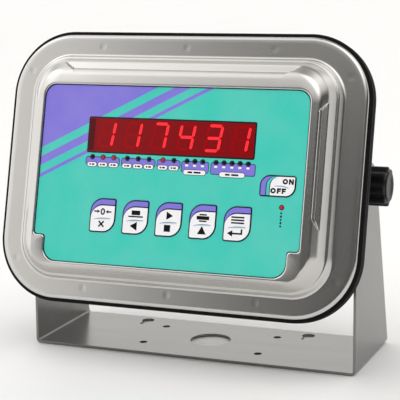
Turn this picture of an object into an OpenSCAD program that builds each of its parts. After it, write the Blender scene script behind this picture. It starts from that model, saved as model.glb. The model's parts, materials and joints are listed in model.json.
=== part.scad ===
// Bracket-mounted weighing indicator, millimetres, +Z up.
// The origin is the centre of the base's cable hole, on the underside.

/* [Bracket] */
// Distance between the case's side wall and the inner face of an arm
arm_clearance = 7.5; // [6:0.1:9]
// Front-to-back length of the base plate
bracket_depth = 90; // [84:1:110]
// Thickness of the bracket sheet
bracket_sheet = 2; // [1.5:0.1:2.5]
// Inner radius of the two bends
bend_radius = 1.5; // [1:0.1:3]
// Height of the tilt axis above the underside
pivot_height = 135.6; // [132:0.2:170]
// Distance of the tilt axis in front of the cable hole
pivot_setback = 16.5; // [10:0.5:18]
// Radius of the rounded top corners of an arm
arm_radius = 21; // [18:0.5:22]
// Distance of the rear corner centre behind the tilt axis
arm_rear_offset = 8.5; // [4:0.5:16]
// Distance of the front corner centre in front of the tilt axis
arm_front_offset = 3.1; // [1:0.1:4]
// Drop of the corner centres below the tilt axis
arm_corner_drop = 5.6; // [2:0.2:10]
// Diameter of the cable hole in the base
cable_hole_d = 32; // [20:0.5:36]
// Diameter of the four fixing holes
fix_hole_d = 6; // [4:0.1:8]
// Spacing of the fixing holes across the base
fix_spacing_x = 96; // [70:1:110]
// Spacing of the fixing holes from front to back
fix_spacing_y = 45; // [36:1:60]
// Distance of each keyhole from the middle of the base
keyhole_x = 70; // [66:0.5:100]
// Distance of the keyhole heads behind the cable hole
keyhole_y = 34.5; // [30:0.5:36]
// Diameter of a keyhole's head
keyhole_head_d = 10; // [8:0.5:12]
// Width of a keyhole's slot
keyhole_slot_w = 6; // [5:0.2:7]
// Distance from a keyhole's head to the end centre of its slot
keyhole_pitch = 9; // [6:0.5:12]

/* [Front cover] */
// Backward lean of the case at rest, in degrees
case_lean = 15.4; // [5:0.2:40]
// Radius of the cover's outer corners
cover_corner = 46; // [40:0.5:50]
// Thickness of the cover sheet
cover_sheet = 1.2; // [1:0.1:1.5]
// Rounding of the cover's outer edge
cover_edge = 3; // [2.2:0.1:4]
// Distance from the tilt axis forward to the rim
rim_reach = 43.2; // [42:0.2:48]
// Width of the flat rim at the sides
rim_side = 17.6; // [17:0.1:18.5]
// Width of the flat rim at the top and bottom
rim_end = 15.2; // [15:0.1:16]
// Rise of the first step
step_rise = 4.6; // [3.5:0.1:5.5]
// Draft of the first step
step_draft = 1.3; // [1:0.1:1.6]
// Width of the narrow ledge
ledge_w = 2.2; // [1.8:0.1:2.6]
// Rise of the second wall
wall_rise = 6.7; // [5:0.1:8]
// Draft of the second wall
wall_draft = 1.9; // [1.5:0.1:2.4]
// Rise of the sloping shoulder
slope_rise = 6.9; // [5:0.1:8]
// Width of the shoulder at the sides
slope_side = 6.9; // [6:0.1:7.5]
// Width of the shoulder at the top
slope_top = 9.4; // [8:0.1:10]
// Width of the shoulder at the bottom
slope_bottom = 4.3; // [3.8:0.1:5]
// Corner radius of the raised panel
panel_corner = 20; // [16:0.5:22]
// Distance from the panel's top to the upper end of a side pocket
pocket_top_gap = 15.5; // [12:0.5:20]
// Distance from the panel's bottom to the lower end of a side pocket
pocket_bottom_gap = 36.1; // [30:0.1:40]
// Distance from the panel's side to an end of the top pocket
pocket_side_gap = 17.1; // [14:0.1:22]

/* [Label and keys] */
// Width of the label opening
label_w = 208.7; // [200:0.1:216]
// Height of the label opening
label_h = 132.3; // [128:0.1:138]
// Width of the panel's rim beside the label opening
panel_side = 6.25; // [5:0.05:8]
// Width of the panel's rim above the label opening
panel_top_rim = 10.85; // [9:0.05:12]
// Width of the panel's rim below the label opening
panel_bottom_rim = 2.95; // [2.4:0.05:4]
// Radius of the label's top corners
label_corner = 9; // [6:0.5:12]
// Width of the notches in the label's bottom corners
notch_w = 9; // [7:0.5:11]
// Height of the notches
notch_h = 19; // [16:0.5:22]
// Radius of the label's bottom corners, between the notches
notch_corner = 10; // [7:0.5:12]
// Rounding of the notch steps
notch_fillet = 2.5; // [1.5:0.1:3.5]
// Overlap of the label behind the cover
label_overlap = 1.6; // [1:0.1:1.8]
// Thickness of the printed label film
overlay_t = 0.6; // [0.5:0.05:0.9]
// Thickness of the plate behind the label
backing_t = 1.5; // [1.2:0.1:2]
// Width of a key
key_w = 20.6; // [18:0.2:22]
// Height of a key
key_h = 25; // [22:0.5:27]
// Large corner radius of a key
key_bow = 10; // [8:0.5:10]
// Small corner radius of a key
key_nip = 1.6; // [1:0.1:2.4]
// Spacing of the keys
key_pitch = 26.35; // [24:0.05:27]
// Distance of the key row's middle right of the label's middle
key_row_x = 4.2; // [0:0.1:8]
// Height of the keys' middle below the label's middle
key_drop = 30; // [28:0.5:33]
// Width of the power key
power_w = 26.4; // [24:0.2:28]
// Height of the power key
power_h = 15; // [13:0.5:17]
// Distance from the power key to the label's right edge
power_side_gap = 6.35; // [4:0.05:8]
// Distance of the power key's middle below the label's middle
power_drop = 1.8; // [0:0.2:4]
// Large corner radius of the power key
power_bow = 7.4; // [6:0.2:7.4]
// Travel of a key
key_travel = 0.4; // [0.3:0.05:0.45]
// Height of a key above the label
key_proud = 0.4; // [0.2:0.05:0.45]
// Thickness of a key
key_t = 0.7; // [0.6:0.05:0.8]
// Diameter of a key's snap dome
dome_d = 12; // [8:0.5:12.4]
// Height of a snap dome
dome_h = 0.5; // [0.4:0.05:0.6]

/* [Display] */
// Width of the display window
window_w = 131.8; // [130:0.1:134]
// Height of the display window
window_h = 26.6; // [26:0.1:28]
// Height of the window's middle above the label's middle
window_lift = 29.1; // [28:0.1:31]
// Spacing of the digits
digit_pitch = 21.05; // [20:0.05:21.6]
// Gap between two digit modules
digit_gap = 2.65; // [1:0.05:4]
// Margin of the window above and below the digit modules
digit_margin = 0.8; // [0.2:0.1:1.4]
// Depth of a digit module
digit_depth = 8; // [6:0.2:10]
// Diameter of the lamps
lamp_d = 2.9; // [2.4:0.1:3.2]
// Distance of the lamp row below the window
lamp_gap = 3.2; // [2.8:0.1:4]
// Spacing of the lamps under the left half of the window
lamp_wide_pitch = 8.7; // [8:0.1:9]
// Spacing of the lamps under the right half of the window
lamp_close_pitch = 6.1; // [5.6:0.1:6.3]
// Distance from the alarm lamp to the label's right edge
alarm_side_gap = 15.55; // [12:0.05:20]
// Distance of the alarm lamp below the label's middle
alarm_drop = 16.5; // [15:0.5:18]
// Margin of the display board inside the label's sides
board_side_gap = 4.35; // [3:0.05:8]
// Height of the display board
display_board_h = 62; // [58:1:64]
// Thickness of the circuit boards
board_t = 1.6; // [1.2:0.1:2]

/* [Case] */
// Distance from the tilt axis back to the rear wall
rear_reach = 23.6; // [22:0.2:40]
// Inset of the housing from the cover's sides
housing_side_inset = 18.5; // [18:0.1:20]
// Inset of the housing from the cover's top and bottom
housing_end_inset = 15.5; // [15:0.1:17]
// Corner radius of the rear housing
housing_corner = 28; // [24:0.5:32]
// Thickness of the housing sheet
housing_sheet = 1.5; // [1.2:0.1:2]
// Rounding of the rear edge
rear_edge = 8; // [6:0.5:10]
// Width by which the housing flange passes the housing's sides
flange_side = 15.4; // [15:0.1:16]
// Width by which the housing flange passes the housing's top and bottom
flange_end = 12.6; // [12.2:0.1:13]
// Width by which the gasket stands out past the cover
gasket_proud = 2.5; // [1.5:0.1:3]
// Depth of the gasket's visible band
gasket_band = 9; // [7:0.2:10]
// Diameter of the cover studs
stud_d = 4; // [3:0.1:4.4]
// Width of the stud nuts across their flats
nut_flats = 7; // [6:0.1:7.2]
// Thickness of the stud nuts
nut_t = 2.4; // [2:0.1:3]
// Spacing of the studs along the top and bottom
stud_spacing_x = 68.6; // [50:0.5:75]
// Distance of the upper and lower studs from the cover's edge
stud_end_inset = 9.5; // [8.5:0.1:10.5]
// Distance of the side studs below and above the cover's top and bottom
stud_side_inset = 28.5; // [24:0.5:40]

/* [Boards inside] */
// Gap between the main board and the housing's sides
main_side_gap = 22; // [20:0.5:28]
// Gap between the main board and the housing's top
main_top_gap = 12; // [10:0.5:14]
// Gap between the main board and the housing's bottom
main_bottom_gap = 54; // [52:0.5:60]
// Length of the main board's spacers
main_spacer_l = 8; // [6:0.5:10]
// Width of the power transformer
transformer_w = 50; // [44:1:56]
// Height of the power transformer
transformer_h = 42; // [36:1:48]
// Depth of the power transformer
transformer_d = 34; // [28:1:38]
// Number of terminal blocks
terminal_count = 5; // [3:1:6]
// Number of relays
relay_count = 5; // [3:1:6]
// Width of the ribbon cable
ribbon_w = 25; // [20:1:32]

/* [Cable entries] */
// Number of cable glands
gland_count = 5; // [3:1:5]
// Distance of the outer glands from the case's sides
gland_side_gap = 42; // [40:0.5:50]
// Height of the glands above the case's bottom
gland_rise = 22; // [21:0.5:24]
// Diameter of a gland's thread
gland_thread_d = 16; // [12:0.5:18]
// Width of a gland's hexagon across its flats
gland_flats = 20; // [20:0.5:22]
// Bore of a gland's rubber seal
gland_bore_d = 7; // [4:0.2:8]

/* [Pivots and knobs] */
// Diameter of the trunnion that turns in the arm
trunnion_d = 14; // [12:0.5:16]
// Diameter of the knob's screw
screw_d = 8; // [6:0.5:8.5]
// Diameter of a spacer pad between the case and an arm
pad_d = 28; // [22:0.5:30]
// Diameter of a knob over its lobes
knob_d = 29; // [26:0.5:32]
// Length of a knob
knob_l = 15.7; // [14:0.1:18]
// Number of lobes on a knob
knob_lobes = 8; // [6:1:10]
// Diameter of a lobe
lobe_d = 7.4; // [6:0.2:8]
// Thickness of a knob's washer
washer_t = 1.6; // [1.2:0.1:2]

/* [Hidden] */

$fn = 64;
// Segments in each corner of a pressed or printed outline
corner_steps = 10;
// Overrun of every cut
over = 1;
// Gap between the case's pads and the bracket's arms
arm_gap = 0.3;
// Gap between a knob, its washer and the arm
face_gap = 0.1;
// Radial gap of the turning and threaded fits
fit_gap = 0.07;
// Radial gap of fasteners in their clearance holes
hole_gap = 0.25;
// Gap round each key, lamp and window in the label
print_gap = 0.15;
// Gap between a fastener's shank and the piece that it clamps
bore_gap = 0.05;

// Stations from front to back inside the case, seen from the tilt axis
rim_y = -rim_reach;
skirt_y = rim_y + cover_edge;
ledge_y = rim_y - step_rise;
shelf_y = ledge_y - wall_rise;
panel_y = shelf_y - slope_rise;
overlay_y = panel_y + cover_sheet;
backing_y = overlay_y + overlay_t;
backing_back_y = backing_y + backing_t;
digit_air = 0.5;
digits_y = backing_back_y + digit_air;
display_y = digits_y + digit_depth;
display_back_y = display_y + board_t;
gasket_back_y = skirt_y + gasket_band;
flange_back_y = gasket_back_y + housing_sheet;
rear_y = rear_reach;
rear_inner_y = rear_y - housing_sheet;
main_back_y = rear_inner_y - main_spacer_l;
main_y = main_back_y - board_t;

// Outlines of the cover, built outwards from the label
panel_hx = label_w / 2 + panel_side;
panel_height = label_h + panel_top_rim + panel_bottom_rim;
shelf_hx = panel_hx + slope_side;
shelf_hz = (panel_height + slope_top + slope_bottom) / 2;
panel_top = shelf_hz - slope_top;
panel_bottom = -shelf_hz + slope_bottom;
ledge_hx = shelf_hx + wall_draft;
ledge_hz = shelf_hz + wall_draft;
step_hx = ledge_hx + ledge_w;
step_hz = ledge_hz + ledge_w;
foot_hx = step_hx + step_draft;
foot_hz = step_hz + step_draft;
cover_w = 2 * (foot_hx + rim_side);
cover_h = 2 * (foot_hz + rim_end);
foot_corner = cover_corner - (rim_side + rim_end) / 2;
step_corner = foot_corner - step_draft;
ledge_corner = step_corner - ledge_w;
shelf_corner = ledge_corner - wall_draft;
housing_w = cover_w - 2 * housing_side_inset;
housing_h = cover_h - 2 * housing_end_inset;

// Heights on the cover, seen from its middle
label_z = panel_bottom + panel_bottom_rim + label_h / 2;
key_z = label_z - key_drop;
power_z = label_z - power_drop;
window_z = label_z + window_lift;
lamp_z = window_z - window_h / 2 - lamp_gap;
alarm_z = label_z - alarm_drop;
key_front_y = overlay_y - key_proud;
key_back_y = key_front_y + key_t;

// Groups of lamps: start as a share of the window's half width, number and spacing
lamp_group_shares = [[-0.924, 3, lamp_wide_pitch], [-0.493, 3, lamp_wide_pitch],
    [-0.062, 2, lamp_wide_pitch], [0.225, 3, lamp_close_pitch], [0.564, 5, lamp_close_pitch]];
lamp_xs = [for (g = lamp_group_shares) for (i = [0 : g[1] - 1]) g[0] * window_w / 2 + i * g[2]];

// Sideways places, seen from the middle of the bracket
wall_x = housing_w / 2;
wall_inner_x = wall_x - housing_sheet;
arm_inner_x = wall_x + arm_clearance;
arm_outer_x = arm_inner_x + bracket_sheet;
bracket_width = 2 * arm_outer_x;
power_x = label_w / 2 - power_side_gap - power_w / 2;
alarm_x = label_w / 2 - alarm_side_gap;

function arc(cx, cz, r, a0, a1) =
    [for (i = [0 : corner_steps]) let (a = a0 + (a1 - a0) * i / corner_steps)
        [cx + r * cos(a), cz + r * sin(a)]];

// Rounded outline from its half width, top, bottom and corner radius
function round_box(hx, zt, zb, r) = concat(
    arc(hx - r, zt - r, r, 0, 90), arc(-hx + r, zt - r, r, 90, 180),
    arc(-hx + r, zb + r, r, 180, 270), arc(hx - r, zb + r, r, 270, 360));

// Outline of one key: two bows on one diagonal, two nips on the other
function leaf(w, h, bow, nip) = concat(
    arc(w / 2 - nip, h / 2 - nip, nip, 0, 90), arc(-w / 2 + bow, h / 2 - bow, bow, 90, 180),
    arc(-w / 2 + nip, -h / 2 + nip, nip, 180, 270), arc(w / 2 - bow, -h / 2 + bow, bow, 270, 360));

// Closed solid through rings of equal length, each given as [y, outline], front last
module loft(rings) {
    n = len(rings[0][1]);
    last = len(rings) - 1;
    points = [for (r = rings) for (p = r[1]) [p[0], r[0], p[1]]];
    sides = [for (i = [0 : last - 1]) for (j = [0 : n - 1])
        [i * n + j, (i + 1) * n + j, (i + 1) * n + (j + 1) % n, i * n + (j + 1) % n]];
    back = [for (j = [0 : n - 1]) j];
    front = [for (j = [n - 1 : -1 : 0]) last * n + j];
    polyhedron(points = points, faces = concat([back], sides, [front]));
}

// Flat outline in X and Z, made solid from one station to another
module slab(front_y, back_y) {
    translate([0, back_y, 0]) rotate([90, 0, 0]) linear_extrude(back_y - front_y) children();
}

module rod_y(d, front_y, back_y, sides = $fn) {
    translate([0, back_y, 0]) rotate([90, 0, 0]) cylinder(h = back_y - front_y, d = d, $fn = sides);
}

module rod_x(d, from_x, to_x) {
    translate([from_x, 0, 0]) rotate([0, 90, 0]) cylinder(h = to_x - from_x, d = d);
}

module in_case() {
    translate([0, -pivot_setback, pivot_height]) rotate([-case_lean, 0, 0]) children();
}

module at(x, z) {
    translate([x, 0, z]) children();
}

module ring(outer_d, inner_d, front_y, back_y) {
    difference() {
        rod_y(outer_d, front_y, back_y);
        rod_y(inner_d, front_y - over, back_y + over);
    }
}

function hex_d(flats) = flats / cos(30);

// Bracket

function tangent_point(p, c, r, side) =
    let (d = norm(c - p), turn = asin(r / d), reach = sqrt(d * d - r * r),
        a = atan2(c[1] - p[1], c[0] - p[0]) + side * turn)
    [p[0] + reach * cos(a), p[1] + reach * sin(a)];

module arm_outline() {
    front_c = [-pivot_setback - arm_front_offset, pivot_height - arm_corner_drop];
    rear_c = [-pivot_setback + arm_rear_offset, pivot_height - arm_corner_drop];
    front_p = [-bracket_depth / 2, 0];
    rear_p = [bracket_depth / 2, 0];
    polygon([front_p, rear_p, tangent_point(rear_p, rear_c, arm_radius, -1),
        rear_c, rear_c + [0, arm_radius], front_c + [0, arm_radius], front_c,
        tangent_point(front_p, front_c, arm_radius, 1)]);
    translate(front_c) circle(arm_radius);
    translate(rear_c) circle(arm_radius);
}

module channel_outline() {
    outer_r = bend_radius + bracket_sheet;
    top = pivot_height + arm_radius;
    difference() {
        union() {
            translate([-arm_outer_x, outer_r]) square([bracket_width, top - outer_r]);
            translate([-arm_outer_x + outer_r, 0]) square([bracket_width - 2 * outer_r, outer_r]);
            for (s = [-1, 1]) translate([s * (arm_outer_x - outer_r), outer_r]) circle(outer_r);
        }
        translate([-arm_inner_x, outer_r]) square([2 * arm_inner_x, top]);
        translate([-arm_inner_x + bend_radius, bracket_sheet])
            square([2 * (arm_inner_x - bend_radius), top]);
        for (s = [-1, 1]) translate([s * (arm_inner_x - bend_radius), outer_r]) circle(bend_radius);
    }
}

module base_hole(d) {
    translate([0, 0, -over]) cylinder(h = bracket_sheet + 2 * over, d = d);
}

module keyhole() {
    base_hole(keyhole_head_d);
    translate([0, -keyhole_pitch, 0]) base_hole(keyhole_slot_w);
    translate([-keyhole_slot_w / 2, -keyhole_pitch, -over])
        cube([keyhole_slot_w, keyhole_pitch, bracket_sheet + 2 * over]);
}

module bracket() {
    color([0.66, 0.65, 0.63]) difference() {
        intersection() {
            translate([0, bracket_depth / 2, 0]) rotate([90, 0, 0])
                linear_extrude(bracket_depth) channel_outline();
            translate([-bracket_width / 2 - over, 0, 0]) rotate([90, 0, 90])
                linear_extrude(bracket_width + 2 * over) arm_outline();
        }
        base_hole(cable_hole_d);
        for (x = [-1, 1], y = [-1, 1])
            translate([x * fix_spacing_x / 2, y * fix_spacing_y / 2, 0]) base_hole(fix_hole_d);
        for (x = [-1, 1]) translate([x * keyhole_x, keyhole_y, 0]) keyhole();
        translate([0, -pivot_setback, pivot_height]) for (s = [0, 1]) mirror([s, 0, 0])
            rod_x(trunnion_d + 2 * fit_gap, arm_inner_x - over, arm_outer_x + over);
    }
}

// Front cover

pocket_high = panel_top - pocket_top_gap;
pocket_low = panel_bottom + pocket_bottom_gap;
// Advance and inset round a quarter circle, as shares of its radius
edge_steps = 3;
edge_shares = [for (i = [0 : edge_steps]) let (a = 90 * i / edge_steps) [sin(a), 1 - cos(a)]];

// Rings of the pressed form; shrink is the sheet thickness taken off every face
function cover_rings(shrink) = concat(
    [for (e = edge_shares) let (in = e[1] * (cover_edge - shrink) + shrink)
        [skirt_y - e[0] * (cover_edge - shrink),
            round_box(cover_w / 2 - in, cover_h / 2 - in, -cover_h / 2 + in, cover_corner - in)]],
    [[rim_y + shrink, round_box(foot_hx - shrink, foot_hz - shrink, -foot_hz + shrink,
        foot_corner - shrink)],
    [ledge_y + shrink, round_box(step_hx - shrink, step_hz - shrink, -step_hz + shrink,
        step_corner - shrink)],
    [ledge_y + shrink, round_box(ledge_hx - shrink, ledge_hz - shrink, -ledge_hz + shrink,
        ledge_corner - shrink)],
    [shelf_y + shrink, round_box(shelf_hx - shrink, shelf_hz - shrink, -shelf_hz + shrink,
        shelf_corner - shrink)],
    [panel_y + shrink, round_box(panel_hx - shrink, panel_top - shrink, panel_bottom + shrink,
        panel_corner - shrink)]]);

// One pocket that opens sideways, with slanted ends; grow is the sheet thickness behind it
module pocket(length, width, grow) {
    reach = width + wall_draft + over;
    inner = length / 2 - width - grow + grow / cos(45);
    outer = length / 2 - width + reach + grow / cos(45);
    polygon([[-grow, -inner], [-grow, inner], [reach, outer], [reach, -outer]]);
}

module pockets(grow) {
    floor_y = shelf_y + grow;
    for (s = [0, 1]) mirror([s, 0, 0]) slab(panel_y - over, floor_y)
        translate([panel_hx, (pocket_high + pocket_low) / 2])
            pocket(pocket_high - pocket_low, slope_side, grow);
    slab(panel_y - over, floor_y)
        translate([0, panel_top]) rotate(90)
            pocket(2 * (panel_hx - pocket_side_gap), slope_top, grow);
}

// The label opening, made larger all round by grow
module label_outline(grow) {
    hx = label_w / 2 + grow;
    zt = label_z + label_h / 2 + grow;
    zb = label_z - label_h / 2 - grow;
    nx = hx - notch_w;
    nz = zb + notch_h;
    f = notch_fillet;
    right = concat(
        arc(nx - notch_corner, zb + notch_corner, notch_corner, 270, 360),
        arc(nx + f, nz - f, f, 180, 90), arc(hx - f, nz + f, f, 270, 360),
        arc(hx - label_corner, zt - label_corner, label_corner, 0, 90));
    left = [for (i = [len(right) - 1 : -1 : 0]) [-right[i][0], right[i][1]]];
    polygon(concat(right, left));
}

module front_cover() {
    color([0.68, 0.67, 0.65]) in_case() difference() {
        difference() {
            loft(cover_rings(0));
            pockets(0);
        }
        difference() {
            loft(cover_rings(cover_sheet));
            pockets(cover_sheet);
        }
        slab(skirt_y - over, skirt_y + over) polygon(round_box(cover_w / 2 - cover_sheet,
            cover_h / 2 - cover_sheet, -cover_h / 2 + cover_sheet, cover_corner - cover_sheet));
        slab(panel_y - over, overlay_y + over) label_outline(0);
    }
}

// Gasket, studs and nuts

module bare_box(hx, hz, r) {
    polygon(round_box(hx, hz, -hz, r));
}

// Places of the cover studs, from the middle of the cover
stud_wall_gap = 0.6;
stud_side_x = wall_x + hex_d(nut_flats) / 2 + stud_wall_gap;
stud_end_z = cover_h / 2 - stud_end_inset;
stud_side_z = cover_h / 2 - stud_side_inset;
stud_places = concat([for (x = [-1, 0, 1], z = [-1, 1]) [x * stud_spacing_x, z * stud_end_z]],
    [for (x = [-1, 1], z = [-1, 1]) [x * stud_side_x, z * stud_side_z]]);
stud_washer_t = 0.6;
stud_washer_d = 7.6;
stud_tail = 1;
nut_front_y = flange_back_y + stud_washer_t;
nut_back_y = nut_front_y + nut_t;

module cover_gasket() {
    color([0.06, 0.06, 0.07]) in_case() difference() {
        union() {
            slab(skirt_y, gasket_back_y) bare_box(cover_w / 2 + gasket_proud,
                cover_h / 2 + gasket_proud, cover_corner + gasket_proud);
            slab(rim_y + cover_sheet, gasket_back_y)
                bare_box(cover_w / 2 - cover_edge, cover_h / 2 - cover_edge,
                    cover_corner - cover_edge);
        }
        slab(rim_y - over, gasket_back_y + over)
            bare_box(wall_x, housing_h / 2, housing_corner);
        for (p = stud_places) at(p[0], p[1])
            rod_y(stud_d + 2 * hole_gap, rim_y, gasket_back_y + over);
    }
}

module cover_studs() {
    color([0.7, 0.7, 0.68]) in_case() for (p = stud_places) at(p[0], p[1])
        rod_y(stud_d, rim_y + cover_sheet, nut_back_y + stud_tail);
}

module stud_washers() {
    color([0.72, 0.72, 0.7]) in_case() for (p = stud_places) at(p[0], p[1])
        ring(stud_washer_d, stud_d + 2 * bore_gap, flange_back_y, nut_front_y);
}

module stud_nuts() {
    color([0.62, 0.62, 0.6]) in_case() for (p = stud_places) at(p[0], p[1]) difference() {
        rod_y(hex_d(nut_flats), nut_front_y, nut_back_y, 6);
        rod_y(stud_d + 2 * bore_gap, nut_front_y - over, nut_back_y + over);
    }
}

// Rear housing

function housing_rings(shrink, front_y) = concat(
    [[front_y, round_box(wall_x - shrink, housing_h / 2 - shrink, -housing_h / 2 + shrink,
        housing_corner - shrink)]],
    [for (e = edge_shares) let (in = e[1] * (rear_edge - shrink) + shrink)
        [rear_y - rear_edge + e[0] * (rear_edge - shrink),
            round_box(wall_x - in, housing_h / 2 - in, -housing_h / 2 + in, housing_corner - in)]]);

function flip(rings) = [for (i = [len(rings) - 1 : -1 : 0]) rings[i]];

plug_side_gap = 22;
earth_x = wall_x - plug_side_gap;
earth_z = -housing_h / 2 + gland_rise;
vent_x = -earth_x;
vent_z = earth_z;
vent_thread_d = 10;
earth_thread_d = 5;

gland_z = -housing_h / 2 + gland_rise;
gland_pitch = (housing_w - 2 * gland_side_gap) / (gland_count - 1);
function gland_x(i) = (i - (gland_count - 1) / 2) * gland_pitch;

module rear_housing() {
    color([0.66, 0.65, 0.63]) in_case() difference() {
        union() {
            loft(flip(housing_rings(0, flange_back_y)));
            slab(gasket_back_y, flange_back_y)
                bare_box(wall_x + flange_side, housing_h / 2 + flange_end,
                    housing_corner + flange_end);
        }
        loft(flip(housing_rings(housing_sheet, gasket_back_y - over)));
        for (p = stud_places) at(p[0], p[1])
            rod_y(stud_d + 2 * hole_gap, gasket_back_y - over, flange_back_y + over);
        for (i = [0 : gland_count - 1]) at(gland_x(i), gland_z)
            rod_y(gland_thread_d + 2 * hole_gap, rear_inner_y - over, rear_y + over);
        at(vent_x, vent_z) rod_y(vent_thread_d + 2 * hole_gap, rear_inner_y - over, rear_y + over);
        at(earth_x, earth_z) rod_y(earth_thread_d + 2 * hole_gap, rear_inner_y - over, rear_y + over);
        for (s = [0, 1]) mirror([s, 0, 0])
            rod_x(boss_d + 2 * hole_gap, wall_inner_x - over, wall_x + over);
    }
}

// Label, keys and domes

key_count = 5;
key_xs = [for (i = [0 : key_count - 1]) key_row_x + (i - (key_count - 1) / 2) * key_pitch];
window_corner = 1.2;
dome_pocket_y = key_back_y + key_travel + face_gap + dome_h;

module key_outlines(grow) {
    for (x = key_xs) translate([x, key_z])
        polygon(leaf(key_w + 2 * grow, key_h + 2 * grow, key_bow + grow, key_nip + grow));
    translate([power_x, power_z])
        polygon(leaf(power_w + 2 * grow, power_h + 2 * grow, power_bow + grow, key_nip + grow));
}

module window_outline(grow) {
    translate([0, window_z]) bare_box(window_w / 2 + grow, window_h / 2 + grow,
        window_corner + grow);
}

module label_sheet(front_y, back_y) {
    difference() {
        slab(front_y, back_y) label_outline(label_overlap);
        slab(front_y - over, back_y + over) window_outline(print_gap);
        for (x = lamp_xs) at(x, lamp_z)
            rod_y(lamp_d + 2 * print_gap, front_y - over, back_y + over);
        at(alarm_x, alarm_z) rod_y(lamp_d + 2 * print_gap, front_y - over, back_y + over);
        slab(front_y - over, back_y + over) key_outlines(print_gap);
    }
}

module label_overlay() {
    color([0.31, 0.78, 0.72]) in_case() label_sheet(overlay_y, backing_y);
}

module keypad_backing() {
    color([0.75, 0.75, 0.77]) in_case() union() {
        label_sheet(backing_y, backing_back_y);
        for (x = key_xs) at(x, key_z) slab(dome_pocket_y, backing_back_y)
            polygon(leaf(key_w + 2 * over, key_h + 2 * over, key_bow + over, key_nip + over));
        at(power_x, power_z) slab(dome_pocket_y, backing_back_y)
            polygon(leaf(power_w + 2 * over, power_h + 2 * over, power_bow + over, key_nip + over));
    }
}

module snap_domes() {
    color([0.8, 0.78, 0.7]) in_case() for (p = concat([for (x = key_xs) [x, key_z]],
        [[power_x, power_z]])) at(p[0], p[1])
        translate([0, dome_pocket_y, 0]) rotate([90, 0, 0])
            cylinder(h = dome_h, d1 = dome_d, d2 = dome_d / 2);
}

module key(x, z, w, h, bow) {
    color([0.96, 0.96, 0.97]) in_case() at(x, z) slab(key_front_y, key_back_y)
        polygon(leaf(w, h, bow, key_nip));
}

module row_key(i) {
    key(key_xs[i], key_z, key_w, key_h, key_bow);
}

module key_zero() { row_key(0); }
module key_left() { row_key(1); }
module key_run() { row_key(2); }
module key_up() { row_key(3); }
module key_enter() { row_key(4); }
module key_power() { key(power_x, power_z, power_w, power_h, power_bow); }

// Display

digit_w = digit_pitch - digit_gap;
digit_h = window_h - 2 * digit_margin;
display_board_w = label_w - 2 * board_side_gap;
display_board_drop = 8;
display_board_z = window_z - display_board_drop;
digit_count = 6;
display_corner = 3;
lamp_flange_d = 4.3;
lamp_flange_t = 1.2;
lamp_proud = 0.1;
display_spacer_d = 5;
display_screw_d = 3;
screw_head_d = 5.6;
screw_head_t = 1.8;
screw_bite = 4;
// Places of the display board's spacers, as shares of its half width and half height
display_spacer_shares = [[-0.93, -0.86], [-0.93, 0.86], [0.93, -0.1], [0.93, 0.86],
    [-0.3, 0.86], [0.3, 0.86]];
display_places = [for (p = display_spacer_shares)
    [p[0] * display_board_w / 2, display_board_z + p[1] * display_board_h / 2]];
tail_w = 14;
tail_t = 0.4;
tail_gap = 4;
tail_z = key_z + key_h / 2 + tail_gap;
tail_socket_t = 3;
tail_socket_h = 5;
ribbon_t = 1;
socket_t = 6;
socket_h = 8;
socket_margin = 2;

module display_window() {
    color([0.55, 0.05, 0.08]) in_case() slab(overlay_y, backing_back_y) window_outline(0);
}

module digit_modules() {
    color([0.2, 0.03, 0.04]) in_case() for (i = [0 : digit_count - 1])
        translate([(i - (digit_count - 1) / 2) * digit_pitch - digit_w / 2, digits_y,
            window_z - digit_h / 2])
            cube([digit_w, digit_depth, digit_h]);
}

module lamp() {
    rod_y(lamp_d, overlay_y - lamp_proud, display_y);
    rod_y(lamp_flange_d, display_y - lamp_flange_t, display_y);
}

module status_lamps() {
    color([0.1, 0.02, 0.03]) in_case() for (x = lamp_xs) at(x, lamp_z) lamp();
}

module alarm_lamp() {
    color([0.8, 0.1, 0.1]) in_case() at(alarm_x, alarm_z) lamp();
}

module display_board() {
    color([0.1, 0.35, 0.2]) in_case() difference() {
        slab(display_y, display_back_y) union() {
            translate([0, display_board_z])
                bare_box(display_board_w / 2, display_board_h / 2, display_corner);
            translate([alarm_x - display_corner * 2, alarm_z - display_corner * 2])
                square([display_corner * 4, window_z - alarm_z]);
        }
        for (p = display_places) at(p[0], p[1])
            rod_y(display_screw_d + 2 * hole_gap, display_y - over, display_back_y + over);
    }
}

module display_spacers() {
    color([0.75, 0.72, 0.6]) in_case() for (p = display_places) at(p[0], p[1]) difference() {
        rod_y(display_spacer_d, backing_back_y, display_y);
        rod_y(display_screw_d + 2 * bore_gap, display_y - screw_bite - over, display_y + over);
    }
}

module board_screw(head_y, direction) {
    front = direction > 0 ? head_y - screw_bite - board_t : head_y;
    back = direction > 0 ? head_y : head_y + screw_bite + board_t;
    rod_y(display_screw_d, front, back);
    rod_y(screw_head_d, direction > 0 ? head_y : head_y - screw_head_t,
        direction > 0 ? head_y + screw_head_t : head_y);
}

module display_screws() {
    color([0.7, 0.7, 0.68]) in_case() for (p = display_places) at(p[0], p[1])
        board_screw(display_back_y, 1);
}

// A flat strip in Y and Z, drawn out across the case
module strip(width, outline) {
    translate([-width / 2, 0, 0]) rotate([90, 0, 90]) linear_extrude(width) polygon(outline);
}

module keypad_tail() {
    top = display_board_z - display_board_h / 2 + tail_socket_h;
    back = display_back_y + tail_socket_t;
    color([0.85, 0.6, 0.25]) in_case() strip(tail_w, [
        [backing_back_y, tail_z - tail_w / 2], [backing_back_y, tail_z],
        [backing_back_y + tail_t, tail_z], [backing_back_y + tail_t, tail_z - tail_w / 2 + tail_t],
        [back, tail_z - tail_w / 2 + tail_t], [back, top], [back + tail_t, top],
        [back + tail_t, tail_z - tail_w / 2]]);
}

// Main board

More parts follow.
